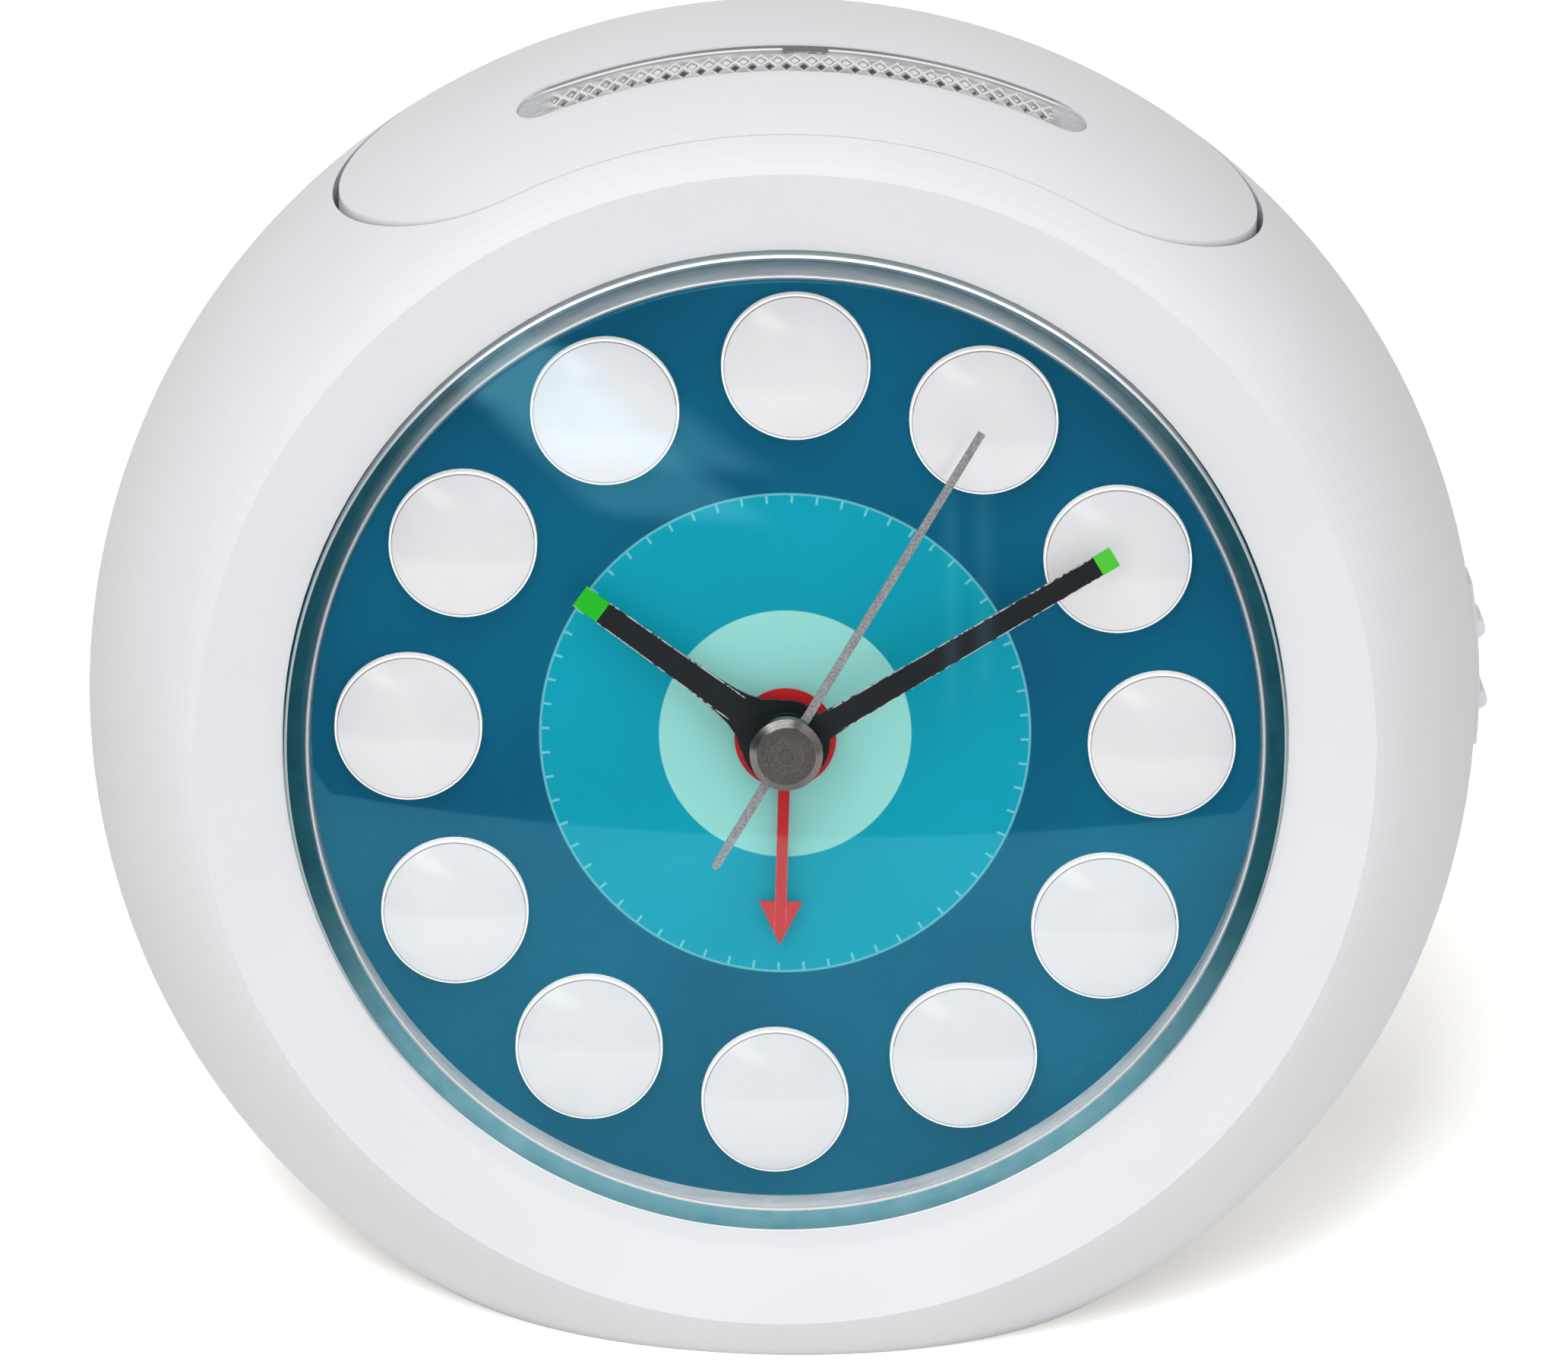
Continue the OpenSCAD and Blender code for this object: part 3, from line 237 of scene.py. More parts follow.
def margin_painted_reflection(m, turn, r, y):
    """The dial's streaked margin under the crystal's wall, with painted light: painted shade dark at the
    sides, a painted reflection paler at the foot and top.
    """
    streak = m.noise(m.join(m.scaled(turn, 9.0), m.scaled(r, 0.3)), 2.0, 3.0)
    # Painted shade at the sides, a painted reflection of the floor at the foot and a greyer painted
    # reflection at the top.
    side = m.mix(streak, rgb(0.003, 0.055, 0.085), rgb(0.02, 0.13, 0.17))
    foot = m.mix(streak, rgb(0.10, 0.40, 0.50), rgb(0.36, 0.60, 0.67))
    top = m.mix(streak, rgb(0.07, 0.16, 0.21), rgb(0.34, 0.42, 0.47))
    return m.mix(m.ramp(y, 20.0, 36.0), m.mix(m.ramp(y, -10.0, -33.0), side, foot), top)


def dial_print():
    """Printed dial: mint disc in a cyan disc with a minute track, on dark teal."""
    m = Tree("dial_print")
    p = m.clock_mm()
    x, y, z = m.split(p)
    r = m.radius(x, y)
    turn = m.math("ARCTAN2", x, y)
    grain = m.noise(p, 9.0, 2.0, 0.7)
    cloud = m.ramp(m.noise(p, 0.05, 1.0), 0.3, 0.7)
    dark = m.mix(cloud, rgb(0.001, 0.088, 0.178), rgb(0.001, 0.118, 0.222))
    cyan = m.mix(cloud, rgb(0.002, 0.318, 0.440), rgb(0.002, 0.345, 0.475))
    mint = m.mix(grain, rgb(0.28, 0.70, 0.66), rgb(0.34, 0.78, 0.73))
    step = math.tau / 60
    near = m.math("SUBTRACT", m.math("FLOORED_MODULO", m.math("ADD", turn, step / 2), step), step / 2)
    across = m.math("ABSOLUTE", m.product(near, r))
    line = m.product(m.ramp(r, CYAN_R - 0.17, CYAN_R - 0.09), m.ramp(r, CYAN_R + 0.11, CYAN_R + 0.01))
    tick = m.product(m.ramp(across, 0.13, 0.06), m.ramp(r, TRACK_IN_R - 0.03, TRACK_IN_R + 0.03),
                     m.ramp(r, TRACK_R + 0.03, TRACK_R - 0.03))
    marks = m.math("MAXIMUM", m.scaled(line, 0.55), m.scaled(tick, 0.75))
    col = m.mix(m.ramp(r, CYAN_R + 0.04, CYAN_R - 0.04), dark, cyan)
    col = m.mix(marks, col, rgb(0.22, 0.62, 0.68))
    col = m.mix(m.ramp(r, MINT_R + 0.05, MINT_R - 0.05), col, mint)
    # Under the crystal's wall the dial gets painted shade at the sides and painted reflection at the foot and
    # top.
    col = m.mix(m.ramp(r, MARGIN_R, MARGIN_R + 0.15), col, margin_painted_reflection(m, turn, r, y))
    col = m.mix(m.scaled(m.ramp(grain, 0.55, 0.75), 0.10), col, rgb(0.004, 0.42, 0.55))
    return m.finish(m.shader(col, m.scaled(grain, 0.15, 0.42), m.bump(grain, 0.08, 0.006),
                             Specular_IOR_Level=0.06))


def hand_paint(name, color, turn, root, tip, r0, r1, edge):
    """Paint on a stamped hand, worn to bare metal along the cut edges; root and tip are its half widths."""
    m = Tree(name)
    p = m.clock_mm(turn)
    x, y, z = m.split(p)
    half = m.scaled(m.ramp(y, r0, r1), tip - root, root)
    inset = m.math("SUBTRACT", half, m.math("ABSOLUTE", x))
    chip = m.noise(p, 2.2, 3.0, 0.7)
    bare = m.product(m.ramp(inset, 0.07, 0.03), m.ramp(chip, 0.42, 0.52), m.ramp(inset, -0.06, -0.02),
                     m.ramp(y, r0 + 2.2, r0 + 2.6))
    fine = m.noise(p, 7.0, 3.0)
    col = m.mix(bare, m.mix(fine, dimmed(color, 0.85), rgb(*color)), rgb(*edge))
    return m.finish(m.shader(col, m.scaled(fine, 0.2, 0.3), m.bump(fine, 0.25, 0.01), Specular_IOR_Level=0.2))


def speckled(name):
    """Grey second hand with a fine speckle."""
    m = Tree(name)
    p = m.object_mm()
    a = m.noise(p, 5.2, 4.0, 0.75)
    b = m.noise(p, 12.0, 2.0, 0.6)
    k = m.math("ADD", m.scaled(m.ramp(a, 0.4, 0.6), 0.6), m.scaled(b, 0.4))
    col = m.mix(k, rgb(0.16, 0.165, 0.18), rgb(0.45, 0.46, 0.485))
    return m.finish(m.shader(col, m.scaled(b, 0.25, 0.3), m.bump(a, 0.3, 0.01), Metallic=0.35))


def pearl(name):
    """Pale domes with a soft sheen."""
    m = Tree(name)
    p = m.object_mm()
    cloud = m.noise(p, 0.35, 3.0)
    fine = m.noise(p, 8.0, 2.0)
    col = m.mix(m.ramp(cloud, 0.35, 0.65), rgb(0.79, 0.79, 0.82), rgb(0.77, 0.77, 0.805))
    return m.finish(m.shader(col, m.scaled(fine, 0.08, 0.2), m.bump(fine, 0.1, 0.006), Coat_Weight=0.6,
                             Coat_Roughness=0.12, Subsurface_Weight=0.15, Subsurface_Scale=0.002))


def turned(name, color, rough):
    """Face-turned metal: rings about the hand axis."""
    m = Tree(name)
    p = m.clock_mm()
    x, y, z = m.split(p)
    rings = m.noise(m.join(m.radius(x, y), z), 9.0, 3.0, 0.7)
    col = m.mix(m.noise(p, 0.6, 3.0), rgb(*color), dimmed(color, 0.75))
    return m.finish(m.shader(col, m.scaled(rings, 0.2, rough - 0.1), m.bump(rings, 0.25, 0.01), Metallic=1.0))


WIRE_PITCH = 0.2


def wound(name):
    """Enamelled wire laid turn by turn along x."""
    m = Tree(name)
    x, y, z = m.split(m.object_mm())
    wave = m.scaled(m.math("SINE", m.scaled(x, math.tau / WIRE_PITCH)), 0.5, 0.5)
    col = m.mix(wave, rgb(0.16, 0.05, 0.012), rgb(0.55, 0.22, 0.06))
    return m.finish(m.shader(col, m.scaled(wave, 0.1, 0.25), m.bump(wave, 0.8, 0.05), Metallic=0.8))


def lacquered(name):
    """Green lacquered board with copper tracks under the lacquer."""
    m = Tree(name)
    p = m.object_mm()
    cells = m.add("ShaderNodeTexVoronoi", {"Vector": p, "Scale": 0.45}, feature="DISTANCE_TO_EDGE",
                  distance="MANHATTAN").outputs[0]
    track = m.ramp(cells, 0.09, 0.06)
    fine = m.noise(p, 5.0, 3.0)
    col = m.mix(track, rgb(0.012, 0.10, 0.05), rgb(0.05, 0.26, 0.09))
    return m.finish(m.shader(col, m.scaled(fine, 0.12, 0.25), m.bump(track, 0.4, 0.03)))


def pane(name):
    """Clear strip over a silvery duct, drawn opaque with painted light: grey and silver streaks along it as a
    painted reflection, at its back a grey line, a painted highlight line and a dark rim of painted shade, and
    a dark patch where the lamp stands behind it.
    """
    m = Tree(name)
    p = m.clock_mm()
    x, y, z = m.split(p)
    out = m.math("ABSOLUTE", x)
    along = m.add("ShaderNodeMapping", {"Vector": p, "Scale": (0.12, 1.0, 1.0)}).outputs[0]
    streak = m.noise(along, 1.6, 4.0, 0.6)
    fine = m.noise(p, 3.0, 3.0)
    rim = m.mix(m.ramp(out, 12.0, 2.0), rgb(0.16, 0.165, 0.175), rgb(0.05, 0.055, 0.06))
    ends = m.mix(fine, rgb(0.27, 0.29, 0.31), rgb(0.60, 0.62, 0.645))
    ragged = m.ramp(m.math("ADD", m.noise(p, 1.4, 3.0), m.ramp(z, -3.9, -4.3)), 0.4, 0.55)
    behind = m.product(m.band(x, -1.65, 1.95, 0.1), m.band(z, -4.8, -3.6, 0.12), ragged)
    # Painted reflection: grey and silver streaks along the strip.
    col = m.mix(m.ramp(streak, 0.35, 0.65), rgb(0.30, 0.30, 0.325), rgb(0.58, 0.58, 0.61))
    # At the back: a grey line, a painted highlight line, then a dark rim of painted shade, darkest in the
    # middle.
    col = m.mix(m.band(z, -4.1, -3.85, 0.06), col, rgb(0.26, 0.265, 0.285))
    col = m.mix(m.band(z, -4.46, -4.16, 0.06), col, rgb(0.92, 0.92, 0.93))
    col = m.mix(m.ramp(z, -4.5, -4.57), col, rim)
    col = m.mix(m.scaled(m.ramp(out, PRISM_END, PRISM_END + 1.0), 0.8), col, ends)
    col = m.mix(behind, col, rgb(0.045, 0.035, 0.035))
    return m.finish(m.shader(col, m.scaled(fine, 0.1, 0.1), m.bump(streak, 0.3, 0.05),
                             Coat_Weight=0.5, Coat_Roughness=0.05))


def painted_facet(name, level):
    """A polished prism face of one brightness, painted light or shade: its level stands for what the face
    reflects.
    """
    m = Tree(name)
    fine = m.noise(m.object_mm(), 2.5, 3.0, 0.6)
    col = m.mix(fine, dimmed((0.72, 0.72, 0.74), level), dimmed((1.0, 0.99, 0.98), level))
    return m.finish(m.shader(col, m.scaled(fine, 0.12, 0.08), m.bump(fine, 0.15, 0.01),
                             Coat_Weight=0.3, Coat_Roughness=0.05))


def painted_highlight_edge(name, glow, side=None):
    """A thin polished edge with a painted highlight, which gathers light from in front: it glows and its
    normal is bent towards the front; a side colour paints shade on it to left and right.
    """
    level = 0.97
    m = Tree(name)
    fine = m.noise(m.object_mm(), 0.5, 3.0, 0.6)
    col = m.mix(m.ramp(fine, 0.3, 0.7), dimmed((0.90, 0.91, 0.92), level), rgb(level, level, level))
    # Painted shade: to left and right the edge takes the side colour and glows less.
    if side:
        k = m.ramp(m.math("ABSOLUTE", m.split(m.clock_mm())[1]), 22.0, 36.0)
        col = m.mix(k, rgb(*side), col)
        glow = m.math("MULTIPLY", k, glow)
    # Painted highlight: a normal bent towards the front and a glow.
    ahead = CLOCK.to_3x3() @ Vector((0, 0, 2.0))
    normal = m.add("ShaderNodeNewGeometry").outputs["Normal"]
    normal = m.add("ShaderNodeVectorMath", {0: normal, 1: ahead}, operation="ADD").outputs[0]
    normal = m.add("ShaderNodeVectorMath", {0: normal}, operation="NORMALIZE").outputs[0]
    return m.finish(m.shader(col, 0.3, normal, Emission_Color=rgb(1.0, 1.0, 1.0), Emission_Strength=glow))


def sleeve(name):
    """Printed sleeve of the cell: a dark field and a bare band, with bare metal ends."""
    m = Tree(name)
    p = m.object_mm()
    x, y, z = m.split(p)
    fine = m.noise(p, 5.0, 3.0)
    end = m.math("MAXIMUM", m.ramp(x, 24.4, 24.6), m.ramp(x, -24.5, -24.65))
    band = m.product(m.ramp(x, 13.0, 13.2), m.ramp(x, 24.5, 24.3))
    col = m.mix(band, rgb(0.03, 0.07, 0.12), rgb(0.55, 0.56, 0.57))
    col = m.mix(end, col, rgb(0.6, 0.6, 0.6))
    return m.finish(m.shader(col, m.scaled(fine, 0.1, 0.25), m.bump(fine, 0.15, 0.01),
                             Metallic=m.math("MAXIMUM", end, m.scaled(band, 0.7))))


# The hands as shown, and the end of the window's prisms
SHOWN_HOURS = 10.16
HOUR_TURN = -SHOWN_HOURS * math.tau / 12
MINUTE_TURN = -(SHOWN_HOURS - 10) * math.tau
SECOND_TURN = math.radians(-29.4)
ALARM_TURN = -math.pi
PRISM_END = 19.6

INK, BARE, LUME_EDGE = (0.012, 0.012, 0.014), (0.6, 0.62, 0.6), (0.35, 0.75, 0.3)
white = moulded("case_white", (0.775, 0.782, 0.812), 0.42, 5.0, 0.014, 0.012)
rear_white = moulded("rear_white", (0.755, 0.762, 0.79), 0.5, 4.0, 0.02, 0.015)
acrylic = clear("clear_acrylic", 0.02, (0.16, 0.56, 0.66))
natural = moulded("natural_plastic", (0.72, 0.69, 0.60), 0.45, 4.0)
gear_white = moulded("gear_plastic", (0.80, 0.80, 0.78), 0.35, 7.0)
black = moulded("black_plastic", (0.018, 0.018, 0.02), 0.4, 5.0, 0.02, 0.1)
magnet = moulded("magnet", (0.06, 0.06, 0.065), 0.5)
epoxy = moulded("led_epoxy", (0.78, 0.77, 0.66), 0.2, 5.0, 0.01, 0.02, Subsurface_Weight=0.3,
                Subsurface_Scale=0.002)
steel = metal("bright_steel", (0.56, 0.57, 0.58), 0.3, "Y")
plated = metal("nickel_plate", (0.66, 0.64, 0.60), 0.28, "Z")
brass = metal("bright_brass", (0.72, 0.50, 0.18), 0.3, "Y")
LOOK = {
    "front_case": white, "rear_case": rear_white, "snooze_bar": white, "alarm_slider": white,
    "battery_door": rear_white, "front_lens": acrylic, "snooze_window": acrylic, "case_screws": steel,
    "dial_plate": dial_print(), "dome_sheet": pearl("dome_pearl"), "dial_screws": steel,
    "hour_hand": hand_paint("hour_paint", INK, HOUR_TURN, 1.08, 0.94, 2.4, 17.75, BARE),
    "hour_tip": hand_paint("hour_lume", (0.012, 0.52, 0.008), HOUR_TURN, 0.93, 0.93, 17.0, 20.0, LUME_EDGE),
    "minute_hand": hand_paint("minute_paint", INK, MINUTE_TURN, 0.95, 0.82, 2.0, 28.4, BARE),
    "minute_tip": hand_paint("minute_lume", (0.08, 0.60, 0.03), MINUTE_TURN, 0.82, 0.82, 28.0, 30.0,
                             LUME_EDGE),
    "alarm_hand": hand_paint("alarm_paint", (0.62, 0.012, 0.014), ALARM_TURN, 0.45, 0.45, 4.0, 14.0,
                             (0.7, 0.1, 0.1)),
    "second_hand": speckled("second_grey"), "hand_cap": turned("turned_nickel", (0.26, 0.24, 0.23), 0.24),
    "movement_front": natural, "movement_bridge": natural, "movement_back": natural,
    "coil_bobbin": natural, "coil_winding": wound("winding"), "stator": steel, "rotor": magnet,
    "movement_screws": steel, "snooze_springs": steel, "fifth_wheel": gear_white,
    "second_wheel": gear_white, "third_wheel": gear_white, "centre_wheel": gear_white,
    "motion_wheel": gear_white, "hour_wheel": gear_white, "alarm_wheel": gear_white,
    "time_shaft": gear_white, "alarm_shaft": gear_white, "cannon_pinion": brass, "alarm_contact": brass,
    "circuit_board": lacquered("board_lacquer"), "lamp_board": lacquered("lamp_board_lacquer"),
    "chip_cover": black, "quartz_crystal": plated, "battery_plate": plated, "battery_spring": plated,
    "time_knob": black, "alarm_knob": black, "snooze_switch": black, "switch_body": black,
    "buzzer": black, "battery": sleeve("cell_sleeve"), "lamp_led": epoxy,
}
for name, obj in nodes.items():
    obj.data.materials.clear()
    obj.data.materials.append(LOOK[name])


# Pieces
def solid(name, bm, material, corner=35.0):
    """An object from a bmesh, shaded smooth but for its sharp corners."""
    bmesh.ops.recalc_face_normals(bm, faces=bm.faces)
    for f in bm.faces:
        f.smooth = True
    for e in bm.edges:
        if len(e.link_faces) == 2:
            e.smooth = e.calc_face_angle(0.0) < math.radians(corner)
    mesh = bpy.data.meshes.new(name)
    bm.to_mesh(mesh)
    bm.free()
    obj = bpy.data.objects.new(name, mesh)
    scene.collection.objects.link(obj)
    for m in material if isinstance(material, list) else [material]:
        mesh.materials.append(m)
    return obj


def revolve(bm, profile, segments, at=(0.0, 0.0), slots=None):
    """A closed ring of revolution about a line along the hand axis, from (radius, height) pairs.

    Each stretch of the profile has a material slot, or a function that gives it from the turn."""
    rings = []
    for i in range(segments):
        a = math.tau * i / segments
        ring = []
        for k, (r, z) in enumerate(profile):
            if r == 0.0 and i:
                ring.append(rings[0][k])
            else:
                ring.append(bm.verts.new(in_clock(at[0] + r * math.sin(a), at[1] + r * math.cos(a), z)))
        rings.append(ring)
    n = len(profile)
    for i in range(segments):
        p, q = rings[i], rings[(i + 1) % segments]
        turn = math.tau * (i + 0.5) / segments
        for j in range(n):
            k = (j + 1) % n
            face = list(dict.fromkeys((p[j], p[k], q[k], q[j])))
            if len(face) > 2:
                slot = slots[j] if slots else 0
                bm.faces.new(face).material_index = slot(turn) if callable(slot) else slot


def arc(centre, r, a0, a1, n):
    steps = [a0 + (a1 - a0) * i / n for i in range(n + 1)]
    return [(centre[0] + r * math.cos(a), centre[1] + r * math.sin(a)) for a in steps]


def cap_corner(ball_r, ball_z, wall_r, f):
    """Centre and end angle of the rounding between a ball cap and the wall below it."""
    c = (wall_r - f, ball_z + math.sqrt((ball_r - f) ** 2 - (wall_r - f) ** 2))
    return c, math.atan2(c[1] - ball_z, c[0])


LENS_R, LENS_IN_R, LENS_FLANGE_R, LENS_FLANGE_T = 39.45, 37.75, 42.0, 1.5
LENS_BALL, LENS_TOP, LENS_IN_BALL, LENS_IN_TOP = 155.13, 10.7, 175.83, 9.2
LENS_FOOT, LENS_CORNER, LENS_IN_CORNER = 0.03, 0.35, 0.8


def lens():
    """The crystal, with its moulded edges rounded: slot 1 is the polished edge with a painted highlight, slot
    2 the inner wall with pale streaks, partly a painted reflection.
    """
    ball, ball_in = (0.0, LENS_TOP - LENS_BALL), (0.0, LENS_IN_TOP - LENS_IN_BALL)
    c, t = cap_corner(LENS_BALL, ball[1], LENS_R, LENS_CORNER)
    ci, ti = cap_corner(LENS_IN_BALL, ball_in[1], LENS_IN_R, LENS_IN_CORNER)
    profile = [(LENS_FLANGE_R, LENS_FOOT), (LENS_FLANGE_R, LENS_FLANGE_T), (LENS_R, LENS_FLANGE_T)]
    slots = [0] * 3
    profile += arc(c, LENS_CORNER, 0.0, t, 8)
    slots += [0] + [1] * 6 + [0] * 2
    profile += arc(ball, LENS_BALL, t, math.pi / 2, 30)[1:-1] + [(0.0, LENS_TOP), (0.0, LENS_IN_TOP)]
    profile += arc(ball_in, LENS_IN_BALL, math.pi / 2, ti, 30)[1:-1]
    slots += [0] * 60
    profile += arc(ci, LENS_IN_CORNER, ti, 0.0, 8) + [(LENS_IN_R, LENS_FOOT)]
    slots += [0] * 4 + [1] + [2] * 4 + [0]
    bm = bmesh.new()
    revolve(bm, profile, 256, slots=slots)
    # The polished edge glows as a painted highlight, with painted shade to the sides; the wall's pale streaks
    # are partly a painted reflection.
    edge = painted_highlight_edge("lens_edge_painted_highlight", 0.12, (0.40, 0.46, 0.48))
    wall = clear("lens_wall", 0.05, (0.5, 0.6, 0.65), 0.9)
    obj = solid("crystal", bm, [acrylic, edge, wall])
    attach(obj, "case")
    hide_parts("front_lens")


DOME_CIRCLE_R, DOME_R, DOME_RISE, DOME_BALL = 29.65, 5.75, 1.9, 23.97
DOME_RIM_R, DOME_EDGE, DOME_LINE, DOME_SLOPE = DOME_R + 0.08, 0.2, 0.07, 0.02
SHEET_IN_R, SHEET_R, SHEET_FRONT, SHEET_BACK = 21.5, 37.0, -1.2, -2.0


def domes():
    """Twelve pale domes on their sheet, each with a rounded rim with a painted highlight and a fine line
    inside it, painted darker above and paler below as a painted reflection.
    """
    ball = (0.0, DOME_RISE - DOME_BALL)
    c, t = cap_corner(DOME_BALL, ball[1], DOME_RIM_R, DOME_EDGE)
    foot = SHEET_BACK + 0.05
    profile = [(0.0, foot), (DOME_RIM_R, foot)] + arc(c, DOME_EDGE, 0.0, t, 6)
    slots = [0] + [1] * 7
    r, z = profile[-1]
    inner = r - DOME_SLOPE - DOME_LINE
    profile += [(r - DOME_SLOPE, z - DOME_LINE), (inner, z - DOME_LINE)]
    # Painted reflection: the fine line is darker on the upper side of a dome and paler on the lower side.
    slots += [lambda turn: 2 if math.cos(turn) > 0.1 else 3] * 2 + [0]
    start = math.acos((inner - DOME_SLOPE) / DOME_BALL)
    profile += arc(ball, DOME_BALL, start, math.pi / 2, 14)[:-1] + [(0.0, DOME_RISE)]
    slots += [0] * 15
    bm = bmesh.new()
    for i in range(12):
        a = math.tau * i / 12
        revolve(bm, profile, 96, (DOME_CIRCLE_R * math.sin(a), DOME_CIRCLE_R * math.cos(a)), slots)
    sheet = [(SHEET_IN_R, SHEET_BACK), (SHEET_R, SHEET_BACK)]
    sheet += [(SHEET_R, SHEET_FRONT), (SHEET_IN_R, SHEET_FRONT)]
    revolve(bm, sheet, 128)
    # The rim glows as a painted highlight; the two line materials are painted reflection, dark above and pale
    # below.
    looks = [LOOK["dome_sheet"], painted_highlight_edge("dome_rim_painted_highlight", 0.26), painted_facet("dome_line", 0.42),
             painted_facet("dome_line_low", 0.75)]
    obj = solid("hour_domes", bm, looks)
    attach(obj, "case")
    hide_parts("dome_sheet")


SECOND_BACK, SECOND_FRONT, SECOND_LEN, SECOND_TAIL = 5.9, 6.2, 29.6, 11.0
SECOND_HUB, SECOND_BORE = 1.7, 0.5
SECOND_TIP_HALF, SECOND_NECK_HALF, SECOND_TAIL_HALF = 0.31, 0.36, 0.33


def second():
    """The slim second hand, with a rounded tail."""
    a = math.pi / 2 - math.asin(SECOND_NECK_HALF / SECOND_HUB)
    right = [(SECOND_TIP_HALF, SECOND_LEN)] + arc((0.0, 0.0), SECOND_HUB, a, -a, 16)
    tail = (0.0, SECOND_TAIL_HALF - SECOND_TAIL)
    right += arc(tail, SECOND_TAIL_HALF, 0.0, -math.pi / 2, 6)[:-1]
    outline = right + [(0.0, -SECOND_TAIL)] + [(-x, y) for x, y in reversed(right)]
    place = CLOCK @ Matrix.Scale(MM, 4) @ Matrix.Rotation(SECOND_TURN, 4, "Z")
    bm = bmesh.new()
    rings, lift, edges = [], {}, []
    for loop in (outline, arc((0.0, 0.0), SECOND_BORE, 0.0, math.tau, 24)[:-1]):
        ring = [bm.verts.new(place @ Vector((x, y, SECOND_BACK))) for x, y in loop]
        edges += [bm.edges.new((ring[i - 1], ring[i])) for i in range(len(ring))]
        rings.append((loop, ring))
    bmesh.ops.triangle_fill(bm, use_beauty=True, edges=edges)
    for loop, ring in rings:
        for (x, y), v in zip(loop, ring):
            lift[v] = bm.verts.new(place @ Vector((x, y, SECOND_FRONT)))
    for tri in bm.faces[:]:
        bm.faces.new([lift[v] for v in tri.verts])
    for _, ring in rings:
        for i in range(len(ring)):
            bm.faces.new((ring[i - 1], ring[i], lift[ring[i]], lift[ring[i - 1]]))
    obj = solid("second_pointer", bm, LOOK["second_hand"])
    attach(obj, "second")
    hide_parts("second_hand")


# The outside of the case: a quarter ellipse from the belly forward to the crease
CASE_R, BELLY_BACK, SHOULDER_W, SHOULDER_H = 55.8, 15.7, 26.0, 15.438


def skin(x, z, off):
    """Height of the case's skin over the hand axis, off below its surface."""
    t = math.asin((z + BELLY_BACK) / (SHOULDER_W - off))
    r = CASE_R - SHOULDER_H + (SHOULDER_H - off) * math.cos(t)
    return math.sqrt(r * r - x * x)


WINDOW_HALF, WINDOW_R, WINDOW_MID, WINDOW_SINK, WINDOW_DEEP = 22.36, 2.17, -2.89, 0.2, 2.7
SLOT_R, SLOT_MID, LAP = 2.66, -2.4, 0.12
PRISM_A, PRISM_B, PRISM_CUTS, PRISM_ROW, PRISM_DEEP = 0.67, 0.88, 5, -1.78, 0.22


def lip_line():
    """Pairs of places, on the window's edge and on the slot's, along the front and round both ends."""
    n, ends = 60, 14
    a, b = WINDOW_HALF - WINDOW_R, WINDOW_HALF - SLOT_R
    lap_r = SLOT_R + LAP
    pairs = []
    for i in range(ends, 0, -1):
        t = math.pi / 2 - math.radians(150) * i / ends
        pairs.append(((-a - WINDOW_R * math.cos(t), WINDOW_MID + WINDOW_R * math.sin(t)),
                      (-b - lap_r * math.cos(t), SLOT_MID + lap_r * math.sin(t))))
    for i in range(n + 1):
        k = 2.0 * i / n - 1.0
        pairs.append(((a * k, WINDOW_MID + WINDOW_R), (b * k, SLOT_MID + lap_r)))
    return pairs + [((-u[0], u[1]), (-v[0], v[1])) for u, v in reversed(pairs[:ends])]


def lip():
    """The white lip along the front and the ends of the window, flush with the bar."""
    bm = bmesh.new()
    rows = []
    for u, v in lip_line():
        gap = math.hypot(v[0] - u[0], v[1] - u[1])
        section = ((gap, -0.003), (gap * 0.5, -0.006), (min(0.16, gap * 0.3), -0.006),
                   (min(0.05, gap * 0.1), 0.02), (0.0, 0.1), (0.0, 0.5), (max(0.0, gap - 0.2), 0.5))
        row = []
        for step, off in section:
            k = step / gap
            x, z = u[0] + (v[0] - u[0]) * k, u[1] + (v[1] - u[1]) * k
            row.append(bm.verts.new(in_clock(x, skin(x, z, off), z)))
        rows.append(row)
    m = len(rows[0])
    for p, q in zip(rows, rows[1:]):
        for j in range(m):
            bm.faces.new((p[j], p[(j + 1) % m], q[(j + 1) % m], q[j]))
    bm.faces.new(rows[0])
    bm.faces.new(rows[-1][::-1])
    obj = solid("window_lip", bm, white)
    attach(obj, "snooze")


def prism(x, z):
    """Level of a place in the pits, nought at the heart of a pit and one on a ridge, its row and its side."""
    best = (2.0, 0, 0.0)
    for row in (0, 1):
        u = x / (2 * PRISM_A) + 0.5 * row
        u = (u - round(u)) * 2
        level = abs(u) + abs(z - PRISM_ROW + row * PRISM_B) / PRISM_B
        best = min(best, (level, row, u))
    return best


def prism_look(x, z):
    """Slot of a small face of the prisms, from the place of its middle: painted shade in the hearts of the
    front row, a painted highlight in the hearts of the back row and on the ridges, painted shade on the
    sides, deeper on the right.
    """
    level, row, side = prism(x, z)
    heart = 0.5 if abs(x) < 13 else 0.25
    if level < heart:
        return 2 if row == 0 else 3
    if level < 0.75:
        return 1 if side < 0 else 4
    return 3 if level < 1.0 else 0


